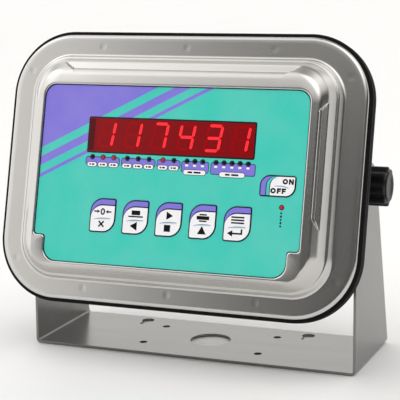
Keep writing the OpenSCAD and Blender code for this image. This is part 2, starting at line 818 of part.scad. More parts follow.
main_w = housing_w - 2 * main_side_gap;
main_h = housing_h - main_top_gap - main_bottom_gap;
main_lift = (main_bottom_gap - main_top_gap) / 2;
main_corner = 3;
main_spacer_d = 6;
// Places of the main board's spacers, as shares of its half width and half height
main_spacer_shares = [[-0.94, -0.9], [-0.94, 0.9], [0, 0.9], [0.94, -0.9], [0.94, 0.9], [0, -0.9]];
main_places = [for (p = main_spacer_shares)
    [p[0] * main_w / 2, main_lift + p[1] * main_h / 2]];
terminal_side_gap = 32;
terminal_gap = 6;
terminal_pitch = (main_w - 2 * terminal_side_gap) / (terminal_count - 1);
terminal_l = terminal_pitch - terminal_gap;
terminal_h = 11;
terminal_d = 12;
terminal_lift = 10;
relay_l = 15;
relay_h = 15;
relay_d = 15;
relay_pitch = 19;
relay_start = -15;
relay_gap = 2;
relay_lift = terminal_lift + terminal_h + relay_gap + relay_h / 2;
chip_side = 14;
chip_t = 1.6;
fuse_l = 22;
fuse_h = 8;
fuse_d = 9;
fuse_lift = 27;
cap_d = 12;
cap_l = 22;
cap_pitch = 13;
cap_x = 21;
ribbon_x = 60;
ribbon_rise = 16.4;
ribbon_z = window_z + ribbon_rise;

module main_board() {
    color([0.1, 0.35, 0.2]) in_case() difference() {
        slab(main_y, main_back_y) translate([0, main_lift])
            bare_box(main_w / 2, main_h / 2, main_corner);
        for (p = main_places) at(p[0], p[1])
            rod_y(display_screw_d + 2 * hole_gap, main_y - over, main_back_y + over);
    }
}

module main_spacers() {
    color([0.75, 0.72, 0.6]) in_case() for (p = main_places) at(p[0], p[1]) difference() {
        rod_y(main_spacer_d, main_back_y, rear_inner_y);
        rod_y(display_screw_d + 2 * bore_gap, main_back_y - over, main_back_y + screw_bite + over);
    }
}

module main_screws() {
    color([0.7, 0.7, 0.68]) in_case() for (p = main_places) at(p[0], p[1]) board_screw(main_y, -1);
}

// A block that stands on the main board's front, placed by its middle
module on_main(x, z, w, h, d) {
    translate([x - w / 2, main_y - d, main_lift + z - h / 2]) cube([w, d, h]);
}

module terminal_blocks() {
    color([0.15, 0.5, 0.25]) in_case() for (i = [0 : terminal_count - 1])
        on_main((i - (terminal_count - 1) / 2) * terminal_pitch,
            -main_h / 2 + terminal_lift + terminal_h / 2, terminal_l, terminal_h, terminal_d);
}

module transformer() {
    color([0.15, 0.15, 0.17]) in_case() on_main(-main_w / 2 + transformer_w / 2 + main_spacer_d * 2,
        main_h / 2 - transformer_h / 2 - main_spacer_d, transformer_w, transformer_h, transformer_d);
}

module relays() {
    color([0.2, 0.3, 0.6]) in_case() for (i = [0 : relay_count - 1])
        on_main(relay_start + i * relay_pitch, -main_h / 2 + relay_lift, relay_l, relay_h, relay_d);
}

module processor() {
    color([0.1, 0.1, 0.11]) in_case()
        on_main(0, main_h / 2 - transformer_h / 2, chip_side, chip_side, chip_t);
}

module fuse_holder() {
    color([0.12, 0.12, 0.12]) in_case()
        on_main(-main_w / 2 + fuse_l, -main_h / 2 + fuse_lift, fuse_l, fuse_h, fuse_d);
}

module capacitors() {
    color([0.1, 0.12, 0.3]) in_case() for (i = [0 : 1])
        at(cap_x + i * cap_pitch, main_lift + main_h / 2 - transformer_h / 2)
            rod_y(cap_d, main_y - cap_l, main_y);
}

module ribbon_sockets() {
    color([0.13, 0.13, 0.14]) in_case() {
        translate([ribbon_x - ribbon_w / 2 - socket_margin, main_y - socket_t, ribbon_z - socket_h / 2])
            cube([ribbon_w + 2 * socket_margin, socket_t, socket_h]);
        translate([ribbon_x - ribbon_w / 2 - socket_margin, display_back_y, display_ribbon_z - socket_h / 2])
            cube([ribbon_w + 2 * socket_margin, socket_t, socket_h]);
        translate([-tail_w / 2 - socket_margin, display_back_y, display_board_z - display_board_h / 2])
            cube([tail_w + 2 * socket_margin, tail_socket_t, tail_socket_h]);
    }
}
display_ribbon_z = window_z;

// The ribbon runs back from the display board, up a step, and on to the main board
module ribbon_cable() {
    front = display_back_y + socket_t;
    back = main_y - socket_t;
    middle = (front + back) / 2;
    low = ribbon_z - socket_h;
    color([0.6, 0.62, 0.64]) in_case() translate([ribbon_x, 0, 0]) strip(ribbon_w, [
        [front, display_ribbon_z], [middle + ribbon_t, display_ribbon_z],
        [middle + ribbon_t, low], [back, low], [back, ribbon_z], [back - ribbon_t, ribbon_z],
        [back - ribbon_t, low + ribbon_t], [middle, low + ribbon_t],
        [middle, display_ribbon_z + ribbon_t], [front, display_ribbon_z + ribbon_t]]);
}

// Cable glands

gland_hex_t = 5;
gland_nut_t = 4;
gland_inner_l = 7;
gland_collar_l = 9;
gland_collar_d = 15;
gland_cap_l = 15;
gland_cap_d = 20;
gland_mouth_d = 10.4;
gland_hex_y = rear_y + gland_hex_t;
gland_collar_y = gland_hex_y + gland_collar_l;
gland_cap_y = gland_hex_y + gland_cap_l;
gland_seal_d = 12.4;
gland_seal_l = 9;
gland_seal_y = gland_collar_y - gland_seal_l + over;

module glands() {
    in_case() for (i = [0 : gland_count - 1]) at(gland_x(i), gland_z) children();
}

module gland_bodies() {
    color([0.55, 0.56, 0.57]) glands() difference() {
        union() {
            rod_y(gland_thread_d, rear_inner_y - gland_inner_l, rear_y);
            rod_y(hex_d(gland_flats), rear_y, gland_hex_y, 6);
            rod_y(gland_collar_d, gland_hex_y, gland_collar_y);
        }
        rod_y(gland_mouth_d, rear_inner_y - gland_inner_l - over, gland_seal_y + over);
        rod_y(gland_seal_d + 2 * bore_gap, gland_seal_y, gland_collar_y + over);
    }
}

module gland_seals() {
    color([0.08, 0.08, 0.08]) glands() ring(gland_seal_d, gland_bore_d, gland_seal_y,
        gland_seal_y + gland_seal_l);
}

module gland_caps() {
    color([0.55, 0.56, 0.57]) glands() difference() {
        union() {
            rod_y(gland_cap_d, gland_hex_y + face_gap, gland_cap_y - gland_collar_l / 3);
            translate([0, gland_cap_y - gland_collar_l / 3, 0]) rotate([-90, 0, 0])
                cylinder(h = gland_collar_l / 3, d1 = gland_cap_d, d2 = gland_collar_d);
        }
        rod_y(gland_collar_d + 2 * bore_gap, gland_hex_y - over, gland_collar_y + over + face_gap);
        rod_y(gland_mouth_d, gland_collar_y, gland_cap_y + over);
    }
}

module gland_locknuts() {
    color([0.6, 0.6, 0.6]) glands() difference() {
        rod_y(hex_d(gland_flats), rear_inner_y - gland_nut_t, rear_inner_y, 6);
        rod_y(gland_thread_d + 2 * bore_gap, rear_inner_y - gland_nut_t - over, rear_inner_y + over);
    }
}

vent_head_d = 15;
vent_head_t = 5;
vent_inner_l = 6;

module vent_plug() {
    color([0.1, 0.1, 0.11]) in_case() at(vent_x, vent_z) {
        rod_y(vent_thread_d, rear_inner_y - vent_inner_l, rear_y);
        rod_y(vent_head_d, rear_y, rear_y + vent_head_t);
    }
}

earth_head_d = 9;
earth_head_t = 3;
earth_nut_flats = 8;
earth_nut_t = 4;
earth_tail = 3;

module earth_stud() {
    color([0.72, 0.6, 0.35]) in_case() at(earth_x, earth_z) {
        rod_y(earth_head_d, rear_inner_y - earth_head_t, rear_inner_y);
        rod_y(earth_thread_d, rear_inner_y, rear_y + earth_nut_t + earth_tail);
    }
}

module earth_nut() {
    color([0.72, 0.6, 0.35]) in_case() at(earth_x, earth_z) difference() {
        rod_y(hex_d(earth_nut_flats), rear_y, rear_y + earth_nut_t, 6);
        rod_y(earth_thread_d + 2 * bore_gap, rear_y - over, rear_y + earth_nut_t + over);
    }
}

// Pivots and knobs

boss_step = 2;
boss_d = trunnion_d + 2 * boss_step;
boss_flange_d = 2 * trunnion_d;
boss_flange_t = 3;
trunnion_short = 0.3;
trunnion_x = arm_outer_x - trunnion_short;
screw_reach = 8;
screw_tip_x = wall_x + fit_gap;
screw_hole_x = screw_tip_x - over;
washer_x = arm_outer_x + face_gap;
knob_x = washer_x + washer_t + face_gap;
knob_end_x = knob_x + knob_l;
washer_d = 22;
knob_bevel = 1.5;
knob_core_d = knob_d - lobe_d + 2 * knob_bevel;
knob_cap_d = knob_d - lobe_d;
lobe_circle_r = (knob_d - lobe_d) / 2;
lobe_short = 0.4;

module on_side(side) {
    translate([0, -pivot_setback, pivot_height]) mirror([side < 0 ? 1 : 0, 0, 0]) children();
}

module pivot_bosses() {
    color([0.62, 0.62, 0.6]) for (side = [-1, 1]) on_side(side) difference() {
        union() {
            rod_x(boss_flange_d, wall_inner_x - boss_flange_t, wall_inner_x);
            rod_x(boss_d, wall_inner_x, arm_inner_x - arm_gap);
            rod_x(trunnion_d, arm_inner_x - arm_gap, trunnion_x);
        }
        rod_x(screw_d + 2 * bore_gap, screw_hole_x, trunnion_x + over);
    }
}

module pivot_pads() {
    color([0.07, 0.07, 0.08]) for (side = [-1, 1]) on_side(side) difference() {
        rod_x(pad_d, wall_x, arm_inner_x - arm_gap);
        rod_x(boss_d + 2 * bore_gap, wall_x - over, arm_inner_x + over);
    }
}

module knob_washer(side) {
    color([0.7, 0.7, 0.68]) on_side(side) difference() {
        rod_x(washer_d, washer_x, washer_x + washer_t);
        rod_x(screw_d + 2 * hole_gap, washer_x - over, washer_x + washer_t + over);
    }
}

module knob(side) {
    color([0.05, 0.05, 0.06]) on_side(side) difference() {
        union() {
            rod_x(knob_core_d, knob_x, knob_end_x - knob_bevel);
            rod_x(knob_cap_d, knob_x + knob_bevel, knob_end_x);
            for (i = [0 : knob_lobes - 1]) rotate([360 / knob_lobes * i, 0, 0])
                translate([0, 0, lobe_circle_r])
                    rod_x(lobe_d, knob_x + lobe_short, knob_end_x - knob_bevel - lobe_short);
        }
        rod_x(screw_d, knob_x - over, knob_x + screw_reach);
    }
}

module knob_screw(side) {
    color([0.72, 0.72, 0.7]) on_side(side) rod_x(screw_d, screw_tip_x, knob_x + screw_reach);
}

module left_washer() { knob_washer(-1); }
module left_knob() { knob(-1); }
module left_screw() { knob_screw(-1); }
module right_washer() { knob_washer(1); }
module right_knob() { knob(1); }
module right_screw() { knob_screw(1); }

bracket();
rear_housing();
front_cover();
cover_gasket();
cover_studs();
stud_washers();
stud_nuts();
label_overlay();
keypad_backing();
display_window();
snap_domes();
keypad_tail();
key_zero();
key_left();
key_run();
key_up();
key_enter();
key_power();
display_board();
digit_modules();
status_lamps();
alarm_lamp();
display_spacers();
display_screws();
main_board();
main_spacers();
main_screws();
terminal_blocks();
transformer();
relays();
processor();
fuse_holder();
capacitors();
ribbon_cable();
ribbon_sockets();
gland_bodies();
gland_seals();
gland_caps();
gland_locknuts();
vent_plug();
earth_stud();
earth_nut();
pivot_bosses();
pivot_pads();
left_washer();
left_knob();
left_screw();
right_washer();
right_knob();
right_screw();
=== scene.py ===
"""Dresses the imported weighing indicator: detailed meshes, materials, light and camera."""

import json
import math

import bmesh
import bpy
from mathutils import Matrix, Vector

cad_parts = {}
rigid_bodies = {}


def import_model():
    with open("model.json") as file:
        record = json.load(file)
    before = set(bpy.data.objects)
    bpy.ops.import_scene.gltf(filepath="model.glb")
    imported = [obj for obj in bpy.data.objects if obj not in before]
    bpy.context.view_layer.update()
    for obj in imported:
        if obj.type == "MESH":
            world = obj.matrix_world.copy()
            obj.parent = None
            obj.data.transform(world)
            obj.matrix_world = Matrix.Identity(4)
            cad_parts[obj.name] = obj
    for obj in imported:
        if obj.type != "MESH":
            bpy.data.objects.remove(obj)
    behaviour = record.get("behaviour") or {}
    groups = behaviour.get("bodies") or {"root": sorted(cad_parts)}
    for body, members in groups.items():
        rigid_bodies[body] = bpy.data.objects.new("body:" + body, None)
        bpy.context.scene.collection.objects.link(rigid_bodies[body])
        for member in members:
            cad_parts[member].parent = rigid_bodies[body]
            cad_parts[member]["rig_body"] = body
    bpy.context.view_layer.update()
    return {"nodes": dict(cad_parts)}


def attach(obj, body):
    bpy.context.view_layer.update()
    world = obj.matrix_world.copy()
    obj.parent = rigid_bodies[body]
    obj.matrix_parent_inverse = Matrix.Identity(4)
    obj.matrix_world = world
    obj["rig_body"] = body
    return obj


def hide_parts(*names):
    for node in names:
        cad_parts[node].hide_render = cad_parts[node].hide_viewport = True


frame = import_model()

MM = 0.001
MICRON = 0.000001

# The case's own axes: x to the right, y back from the tilt axis, z up its face.
LEAN = math.radians(15.4)
PIVOT_Y = -16.5
PIVOT_Z = 135.6

# Stations from front to back, in millimetres from the tilt axis.
PANEL_Y = -61.4
OVERLAY_Y = -60.2
SHELF_Y = -54.5
LEDGE_Y = -47.8
RIM_Y = -43.2
SKIRT_Y = -40.2
GASKET_BACK_Y = -31.2
FLANGE_BACK_Y = -29.7
REAR_Y = 23.6
COVER_SHEET = 1.2
KEY_FRONT_Y = -60.6

# Half width, top, bottom and corner radius of the cover's outlines.
SKIRT = (140.5, 100.5, -100.5, 46.0)
RIM = (137.5, 97.5, -97.5, 43.0)
FOOT = (123.4, 83.9, -85.3, 29.6)
STEP = (120.4, 82.3, -83.0, 28.1)
LEDGE = (119.0, 81.0, -81.8, 26.1)
SHELF = (115.4, 77.8, -78.8, 24.2)
PANEL = (110.6, 70.5, -75.6, 20.0)
INNER = (105.9, 61.3, -74.2, 10.7)
FLAT = (105.6, 61.0, -73.9, 10.4)
# How far the panel falls towards its edge, and a pocket's floor rises from the shelf to the label.
PANEL_DROP = 1.0
FLOOR_RISE = 1.1

LABEL_HALF, LABEL_TOP, LABEL_BOTTOM = 104.35, 59.65, -72.65
KEY_PLACES = {"key_zero": -48.5, "key_left": -22.15, "key_run": 4.2, "key_up": 30.55,
              "key_enter": 56.9}
KEY_Z = -36.5
# Width, height, wide corners and narrow corners of the keys.
KEY_W, KEY_H, KEY_BOW, KEY_NIP = 20.6, 25.0, 10.0, 1.6
POWER_X, POWER_Z = 84.8, -8.3
POWER_W, POWER_H, POWER_BOW = 26.4, 15.0, 7.4
WINDOW_Z = 22.6
WINDOW_W, WINDOW_H = 131.8, 26.6
WINDOW_FRONT_Y = OVERLAY_Y - 0.1
ALARM_X, ALARM_Z = 88.8, -23.0
LAMP_Z = 6.1
LAMP_XS = [-60.9, -52.2, -43.5, -32.5, -23.8, -15.1, -4.1, 4.6,
           14.8, 20.9, 27.0, 37.2, 43.3, 49.4, 55.5, 61.6]
LAMPS_LIT = (1, 2, 6)
# One place of each set of studs; the others mirror it.
STUD_PLACES = [(0, 91.0), (68.6, 91.0), (126.7, 72.0)]


def on_case(x, y, z):
    """A point of the case, in millimetres on its own axes, carried to the object's in metres."""
    return Vector((x * MM,
                   (y * math.cos(LEAN) + z * math.sin(LEAN) + PIVOT_Y) * MM,
                   (-y * math.sin(LEAN) + z * math.cos(LEAN) + PIVOT_Z) * MM))


# Materials

# Most of a noise texture's values lie in this span.
NOISE_SPAN = (0.3, 0.7)


def srgb(r, g, b):
    """Linear colour from the 0 to 255 values seen on a screen."""
    out = []
    for c in (r, g, b):
        c /= 255
        out.append(c / 12.92 if c <= 0.04045 else ((c + 0.055) / 1.055) ** 2.4)
    return (*out, 1)


def shade(colour, factor):
    """The colour made lighter or darker."""
    return (*[min(1, c * factor) for c in colour[:3]], 1)


def math_node(tree, operation, a, b=None, c=None):
    node = tree.nodes.new("ShaderNodeMath")
    node.operation = operation
    for i, value in enumerate((a, b, c)):
        if value is None:
            continue
        if isinstance(value, (int, float)):
            node.inputs[i].default_value = value
        else:
            tree.links.new(value, node.inputs[i])
    return node.outputs[0]


def noise(tree, scale, detail=2.0, stretch=(1, 1, 1)):
    """Noise over the object's own coordinates, with scale in cycles per metre."""
    coords = tree.nodes.new("ShaderNodeTexCoord")
    mapping = tree.nodes.new("ShaderNodeMapping")
    mapping.inputs["Scale"].default_value = stretch
    texture = tree.nodes.new("ShaderNodeTexNoise")
    texture.inputs["Scale"].default_value = scale
    texture.inputs["Detail"].default_value = detail
    tree.links.new(coords.outputs["Object"], mapping.inputs["Vector"])
    tree.links.new(mapping.outputs[0], texture.inputs["Vector"])
    return texture.outputs["Fac"]


def ramp(tree, value, low, high, out_low, out_high):
    """A value carried from one span to another."""
    node = tree.nodes.new("ShaderNodeMapRange")
    for key, number in (("From Min", low), ("From Max", high), ("To Min", out_low),
                        ("To Max", out_high)):
        node.inputs[key].default_value = number
    tree.links.new(value, node.inputs["Value"])
    return node.outputs[0]


def blend_colours(tree, factor, a, b):
    node = tree.nodes.new("ShaderNodeMix")
    node.data_type = "RGBA"
    for socket, value in ((node.inputs[0], factor), (node.inputs[6], a), (node.inputs[7], b)):
        if isinstance(value, (tuple, list)):
            socket.default_value = value
        else:
            tree.links.new(value, socket)
    return node.outputs[2]


def bump(tree, shader, height, distance):
    node = tree.nodes.new("ShaderNodeBump")
    node.inputs["Distance"].default_value = distance
    tree.links.new(height, node.inputs["Height"])
    tree.links.new(node.outputs[0], shader.inputs["Normal"])


def finish(name, colour, rough, vary=0.06, scale=60, grain=900, relief=20,
           metal=0.0, spread=0.05, stretch=(1, 1, 1), glow=0.0, specular=0.5):
    """A surface with slow colour variation, fine grain in its gloss and a fine relief.

    The scale and grain are in cycles per metre, the relief is in microns, and vary and spread
    say how far the colour and the roughness go to either side.
    """
    material = bpy.data.materials.new(name)
    material.use_nodes = True
    tree = material.node_tree
    shader = tree.nodes["Principled BSDF"]
    slow = noise(tree, scale, 3.0, stretch)
    fine = noise(tree, grain, 2.0, stretch)
    tint = ramp(tree, slow, *NOISE_SPAN, 0.0, 1.0)
    mixed = blend_colours(tree, tint, shade(colour, 1 - vary), shade(colour, 1 + vary))
    tree.links.new(mixed, shader.inputs["Base Color"])
    tree.links.new(ramp(tree, fine, *NOISE_SPAN, max(0.02, rough - spread), rough + spread),
                   shader.inputs["Roughness"])
    shader.inputs["Metallic"].default_value = metal
    shader.inputs["Specular IOR Level"].default_value = specular
    if glow:
        tree.links.new(mixed, shader.inputs["Emission Color"])
        shader.inputs["Emission Strength"].default_value = glow
    bump(tree, shader, fine, relief * MICRON)
    return material


def case_axes(tree):
    """Sockets with the x and z of the case's own axes, in metres."""
    coords = tree.nodes.new("ShaderNodeTexCoord")
    split = tree.nodes.new("ShaderNodeSeparateXYZ")
    tree.links.new(coords.outputs["Object"], split.inputs[0])
    y = math_node(tree, "SUBTRACT", split.outputs[1], PIVOT_Y * MM)
    z = math_node(tree, "SUBTRACT", split.outputs[2], PIVOT_Z * MM)
    along = math_node(tree, "MULTIPLY", y, math.sin(LEAN))
    return split.outputs[0], math_node(tree, "MULTIPLY_ADD", z, math.cos(LEAN), along)


TEAL = srgb(67, 206, 190)
VIOLET = srgb(131, 120, 222)
NAVY = srgb(17, 20, 48)
WHITE = srgb(250, 249, 252)
STEEL = (0.60, 0.588, 0.572, 1)

# The label's bands: their rise to the right, and where each colour starts on the left edge.
BAND_SLOPE = 0.522
BAND_REACH = 20
BAND_STARTS = [(-20, TEAL), (-11.8, VIOLET), (-8.9, TEAL), (-2.4, VIOLET), (4.3, TEAL),
               (11.0, VIOLET)]

# Radii and depth of a weld mark, the depth in microns.
WELD_INNER, WELD_OUTER, WELD_DEPTH = 0.6, 3.2, 50
COVER_GRAIN, COVER_RELIEF = 2200, 2


def label_material():
    """Printed film: teal, with violet bands that climb to the right."""
    material = finish("label_film", TEAL, 0.42, vary=0.02, scale=25, grain=2600,
                      relief=6, spread=0.04, specular=0.2)
    tree = material.node_tree
    shader = tree.nodes["Principled BSDF"]
    x, z = case_axes(tree)
    across = math_node(tree, "ADD", x, LABEL_HALF * MM)
    rise = math_node(tree, "MULTIPLY_ADD", across, -BAND_SLOPE, z)
    bands = tree.nodes.new("ShaderNodeValToRGB")
    bands.color_ramp.interpolation = "CONSTANT"
    tree.links.new(ramp(tree, rise, -BAND_REACH * MM, BAND_REACH * MM, 0, 1), bands.inputs[0])
    elements = bands.color_ramp.elements
    while len(elements) < len(BAND_STARTS):
        elements.new(0.5)
    for element, (start, colour) in zip(elements, BAND_STARTS):
        element.position = (start + BAND_REACH) / (2 * BAND_REACH)
        element.color = colour
    slow = ramp(tree, noise(tree, 40, 3.0), *NOISE_SPAN, 0.0, 0.05)
    tree.links.new(blend_colours(tree, slow, bands.outputs[0], WHITE), shader.inputs["Base Color"])
    return material


def cover_material():
    """Satin steel with faint weld marks on the rim, over the studs."""
    material = finish("cover_steel", STEEL, 0.23, vary=0.03, scale=18, grain=COVER_GRAIN,
                      relief=COVER_RELIEF, metal=1.0, spread=0.03)
    tree = material.node_tree
    shader = tree.nodes["Principled BSDF"]
    x, z = case_axes(tree)
    ax = math_node(tree, "ABSOLUTE", x)
    az = math_node(tree, "ABSOLUTE", z)
    height = math_node(tree, "MULTIPLY", noise(tree, COVER_GRAIN), COVER_RELIEF * MICRON)
    for sx, sz in STUD_PLACES:
        dx = math_node(tree, "SUBTRACT", ax, sx * MM)
        dz = math_node(tree, "SUBTRACT", az, sz * MM)
        r2 = math_node(tree, "ADD", math_node(tree, "MULTIPLY", dx, dx),
                       math_node(tree, "MULTIPLY", dz, dz))
        dent = ramp(tree, math_node(tree, "SQRT", r2), WELD_INNER * MM, WELD_OUTER * MM,
                    -WELD_DEPTH * MICRON, 0.0)
        height = math_node(tree, "ADD", height, dent)
    bump(tree, shader, height, 1.0)
    return material


M = {
    "cover": cover_material(),
    "label": label_material(),
    "steel": finish("satin_steel", STEEL, 0.25, vary=0.03, scale=18, grain=2200,
                    relief=2.5, metal=1.0),
    "sheet": finish("brushed_sheet", (0.22, 0.216, 0.21, 1), 0.24, vary=0.05, grain=1500,
                    relief=1.5, metal=1.0, spread=0.025, stretch=(0.12, 1, 1)),
    "bright": finish("bright_steel", (0.66, 0.65, 0.63, 1), 0.24, vary=0.05, scale=200,
                     grain=3000, relief=3, metal=1.0),
    "rubber": finish("black_rubber", (0.005, 0.005, 0.006, 1), 0.6, vary=0.25, scale=120,
                     grain=1500, spread=0.08, specular=0.1),
    "knob": finish("black_moulding", (0.005, 0.005, 0.006, 1), 0.36, vary=0.2, scale=90,
                   grain=1800, relief=8, spread=0.06, specular=0.16),
    "navy": finish("navy_ink", NAVY, 0.4, vary=0.1, grain=2600, relief=4, specular=0.15),
    "white": finish("white_film", WHITE, 0.33, vary=0.015, grain=2600, relief=5),
    "violet": finish("violet_ink", VIOLET, 0.36, vary=0.03, grain=2600, relief=5),
    "teal": finish("teal_ink", TEAL, 0.36, vary=0.03, grain=2600, relief=5),
    "lilac": finish("lilac_ink", srgb(150, 145, 190), 0.4, vary=0.05, grain=2600, relief=4),
    "mint": finish("mint_ink", srgb(205, 238, 222), 0.4, vary=0.04, grain=2600, relief=4),
    "ink": finish("black_ink", srgb(10, 9, 14), 0.42, vary=0.1, grain=2600, relief=4,
                  specular=0.15),
    "pane": finish("red_pane", srgb(136, 12, 18), 0.2, vary=0.05, scale=30, grain=700,
                   relief=1, spread=0.03, specular=0.2),
    # A darker red for the strip at the window's left: painted shade of the window's inner side
    # wall.
    "pane_painted_shade": finish("pane_painted_shade_strip", srgb(84, 10, 14), 0.2, vary=0.08, scale=30, grain=700,
                        relief=1, spread=0.03, specular=0.2),
    "border": finish("window_border", srgb(14, 10, 14), 0.25, vary=0.1, relief=2),
    "lit": finish("lit_segment", srgb(244, 26, 40), 0.35, vary=0.03, scale=300, relief=1, glow=0.5),
    "unlit": finish("unlit_segment", srgb(157, 3, 13), 0.2, vary=0.05, scale=300,
                    relief=1, specular=0.2),
    "lens_on": finish("lit_lens", srgb(190, 20, 28), 0.25, vary=0.08, scale=400,
                      relief=1, specular=0.35, glow=0.12),
    "lens_off": finish("dark_lens", srgb(12, 7, 18), 0.25, vary=0.15, scale=400,
                       relief=1, specular=0.2),
    "brass": finish("nickel_plate", (0.56, 0.55, 0.51, 1), 0.26, vary=0.05, scale=150,
                    grain=2500, relief=4, metal=1.0),
    "gold": finish("earth_brass", (0.66, 0.48, 0.19, 1), 0.28, vary=0.08, scale=150,
                   grain=2500, relief=4, metal=1.0),
    "board": finish("solder_mask", (0.02, 0.16, 0.06, 1), 0.35, vary=0.12, scale=350,
                    grain=1800, relief=10),
    "green": finish("terminal_green", (0.03, 0.24, 0.08, 1), 0.4, grain=1500, relief=10),
    "blue": finish("relay_blue", (0.03, 0.09, 0.36, 1), 0.35, grain=1500, relief=10),
    "core": finish("iron_core", (0.06, 0.06, 0.066, 1), 0.5, vary=0.15, scale=900, grain=2000,
                   relief=30, stretch=(0.05, 1, 0.05)),
    "grey": finish("flat_cable", (0.45, 0.46, 0.47, 1), 0.5, vary=0.1, scale=800, grain=1500,
                   stretch=(1, 0.05, 0.05)),
    "amber": finish("amber_film", (0.5, 0.26, 0.06, 1), 0.3, vary=0.1, grain=1500, relief=5),
    "plate": finish("backing_plate", (0.7, 0.7, 0.72, 1), 0.35, vary=0.04, grain=2000,
                    relief=4, metal=1.0),
}

# Mesh building

LEAF_STEPS = 12


class Form:
    """Points and faces of one piece, given in millimetres and placed by a function."""

    def __init__(self, place=on_case):
        self.place = place
        self.points = []
        self.faces = []
        self.marks = []

    def add(self, points):
        """Takes in points and returns their indices."""
        start = len(self.points)
        self.points.extend(self.place(*p) for p in points)
        return list(range(start, len(self.points)))

    def face(self, indices, mark=0):
        self.faces.append(indices)
        self.marks.append(mark)

    def rings(self, rings, mark=0, cap_first=False, cap_last=False, cyclic=False):
        """A skin over rings of equal length, with its ends open, capped or joined."""
        rows = [self.add(r) for r in rings]
        n = len(rows[0])
        pairs = list(zip(rows, rows[1:]))
        if cyclic:
            pairs.append((rows[-1], rows[0]))
        for a, b in pairs:
            for j in range(n):
                k = (j + 1) % n
                self.face([a[j], a[k], b[k], b[j]], mark)
        if cap_first:
            self.face(rows[0][::-1], mark)
        if cap_last:
            self.face(rows[-1], mark)

    def plate(self, outline, front, back, mark=0):
        """A flat outline in x and z, made solid from one station to another."""
        self.rings([[(x, back, z) for x, z in outline], [(x, front, z) for x, z in outline]],
                   mark, True, True)

    def band(self, outer, inner, front, back, mark=0):
        """A flat loop between two outlines of equal length."""
        self.rings([[(x, back, z) for x, z in outer], [(x, front, z) for x, z in outer],
                    [(x, front, z) for x, z in inner], [(x, back, z) for x, z in inner]],
                   mark, cyclic=True)

    def build(self, name, body, materials, replaces=(), sharp=35):
        """Makes the form a piece; its marks are places in the list of materials."""
        bm = bmesh.new()
        verts = [bm.verts.new(p) for p in self.points]
        for indices, mark in zip(self.faces, self.marks):
            face = bm.faces.new([verts[i] for i in indices])
            face.material_index = mark
        bmesh.ops.recalc_face_normals(bm, faces=bm.faces)
        finish_piece(bm, name, body, materials, replaces, sharp)


def finish_piece(bm, name, body, materials, replaces, sharp, weighted=False):
    """Makes the mesh an object with its materials and body, and hides the solids it replaces."""
    mesh = bpy.data.meshes.new(name)
    bm.to_mesh(mesh)
    bm.free()
    mesh.shade_smooth()
    mesh.set_sharp_from_angle(angle=math.radians(sharp))
    for key in materials:
        mesh.materials.append(M[key])
    piece = bpy.data.objects.new(name, mesh)
    bpy.context.scene.collection.objects.link(piece)
    if weighted:
        piece.modifiers.new("weights", "WEIGHTED_NORMAL").keep_sharp = True
    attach(piece, body)
    if replaces:
        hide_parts(*replaces)


def arc(cx, cz, r, start, end, steps):
    """Points on an arc in x and z, from one angle in degrees to another."""
    return [(cx + r * math.cos(math.radians(start + (end - start) * i / steps)),
             cz + r * math.sin(math.radians(start + (end - start) * i / steps)))
            for i in range(steps + 1)]


def round_box(hx, top, bottom, r, steps):
    """A box of a half width with equal round corners."""
    return (arc(hx - r, top - r, r, 0, 90, steps) + arc(-hx + r, top - r, r, 90, 180, steps)
            + arc(-hx + r, bottom + r, r, 180, 270, steps)
            + arc(hx - r, bottom + r, r, 270, 360, steps))


def leaf(w, h, bow, nip):
    """A box with two wide corners, upper left and lower right, and two narrow ones."""
    return (arc(w / 2 - nip, h / 2 - nip, nip, 0, 90, LEAF_STEPS)
            + arc(-w / 2 + bow, h / 2 - bow, bow, 90, 180, LEAF_STEPS)
            + arc(-w / 2 + nip, -h / 2 + nip, nip, 180, 270, LEAF_STEPS)
            + arc(w / 2 - bow, -h / 2 + bow, bow, 270, 360, LEAF_STEPS))


def moved(outline, dx, dz):
    return [(x + dx, z + dz) for x, z in outline]


def disc(cx, cz, r, steps=24):
    return arc(cx, cz, r, 0, 360 - 360 / steps, steps - 1)


# Front cover

# How far each corner of the pressed face is rounded, from the foot of the step inwards, with
# the most of a leg that a rounding may take.
SHOULDER_CUTS = [1.4, 1.0, 0.7, 1.3, 2.0, 0.1]
POCKET_CUTS = [1.4, 1.0, 0.7, 0.8, 0.5, 1.9, 0.1]
MOST_OF_A_LEG = 0.48
SKIRT_EDGE = 3
CORNER_STEPS = 40

# The pockets: the foot of their wall beyond the panel, their middle and half height at the
# panel's edge, how their side ends slant, and the start, slope and norm of their top ends.
POCKET_FOOT = 1.2
POCKET_Z, POCKET_HALF = 8.25, 37.2
SIDE_SLOPE_HIGH, SIDE_SLOPE_LOW = 1.4, 1.7
TOP_START, TOP_SLOPE, TOP_NORM = 83.1, 1.47, 1.78
POCKET_BLEND = 0.3

# Half widths of the rings added over the flat rim and over the pockets' walls.
RIM_RINGS = [RIM[0] - 2.4 * i for i in range(6)]
POCKET_RINGS = [PANEL[0] - 0.4 + 0.3 * i for i in range(20)]
LEAST_RING_GAP = 0.07

LABEL_CORNER, LABEL_LOW_CORNER = 9, 10
NOTCH_W, NOTCH_H, NOTCH_FILLET = 9, 19, 2.5
LABEL_STEPS = 8


def smooth_path(keys, cuts, steps):
    """A polyline of (offset, station) keys with each inner corner rounded over its cut."""
    path = [keys[0]]
    for before, key, after, cut in zip(keys, keys[1:], keys[2:], cuts):
        corner = Vector(key)
        a, b = [corner.lerp(Vector(end), min(MOST_OF_A_LEG, cut / (corner - Vector(end)).length))
                for end in (before, after)]
        for i in range(steps + 1):
            t = i / steps
            p = a * (1 - t) ** 2 + corner * (2 * t * (1 - t)) + b * t ** 2
            path.append((p.x, p.y))
    path.append(keys[-1])
    return path


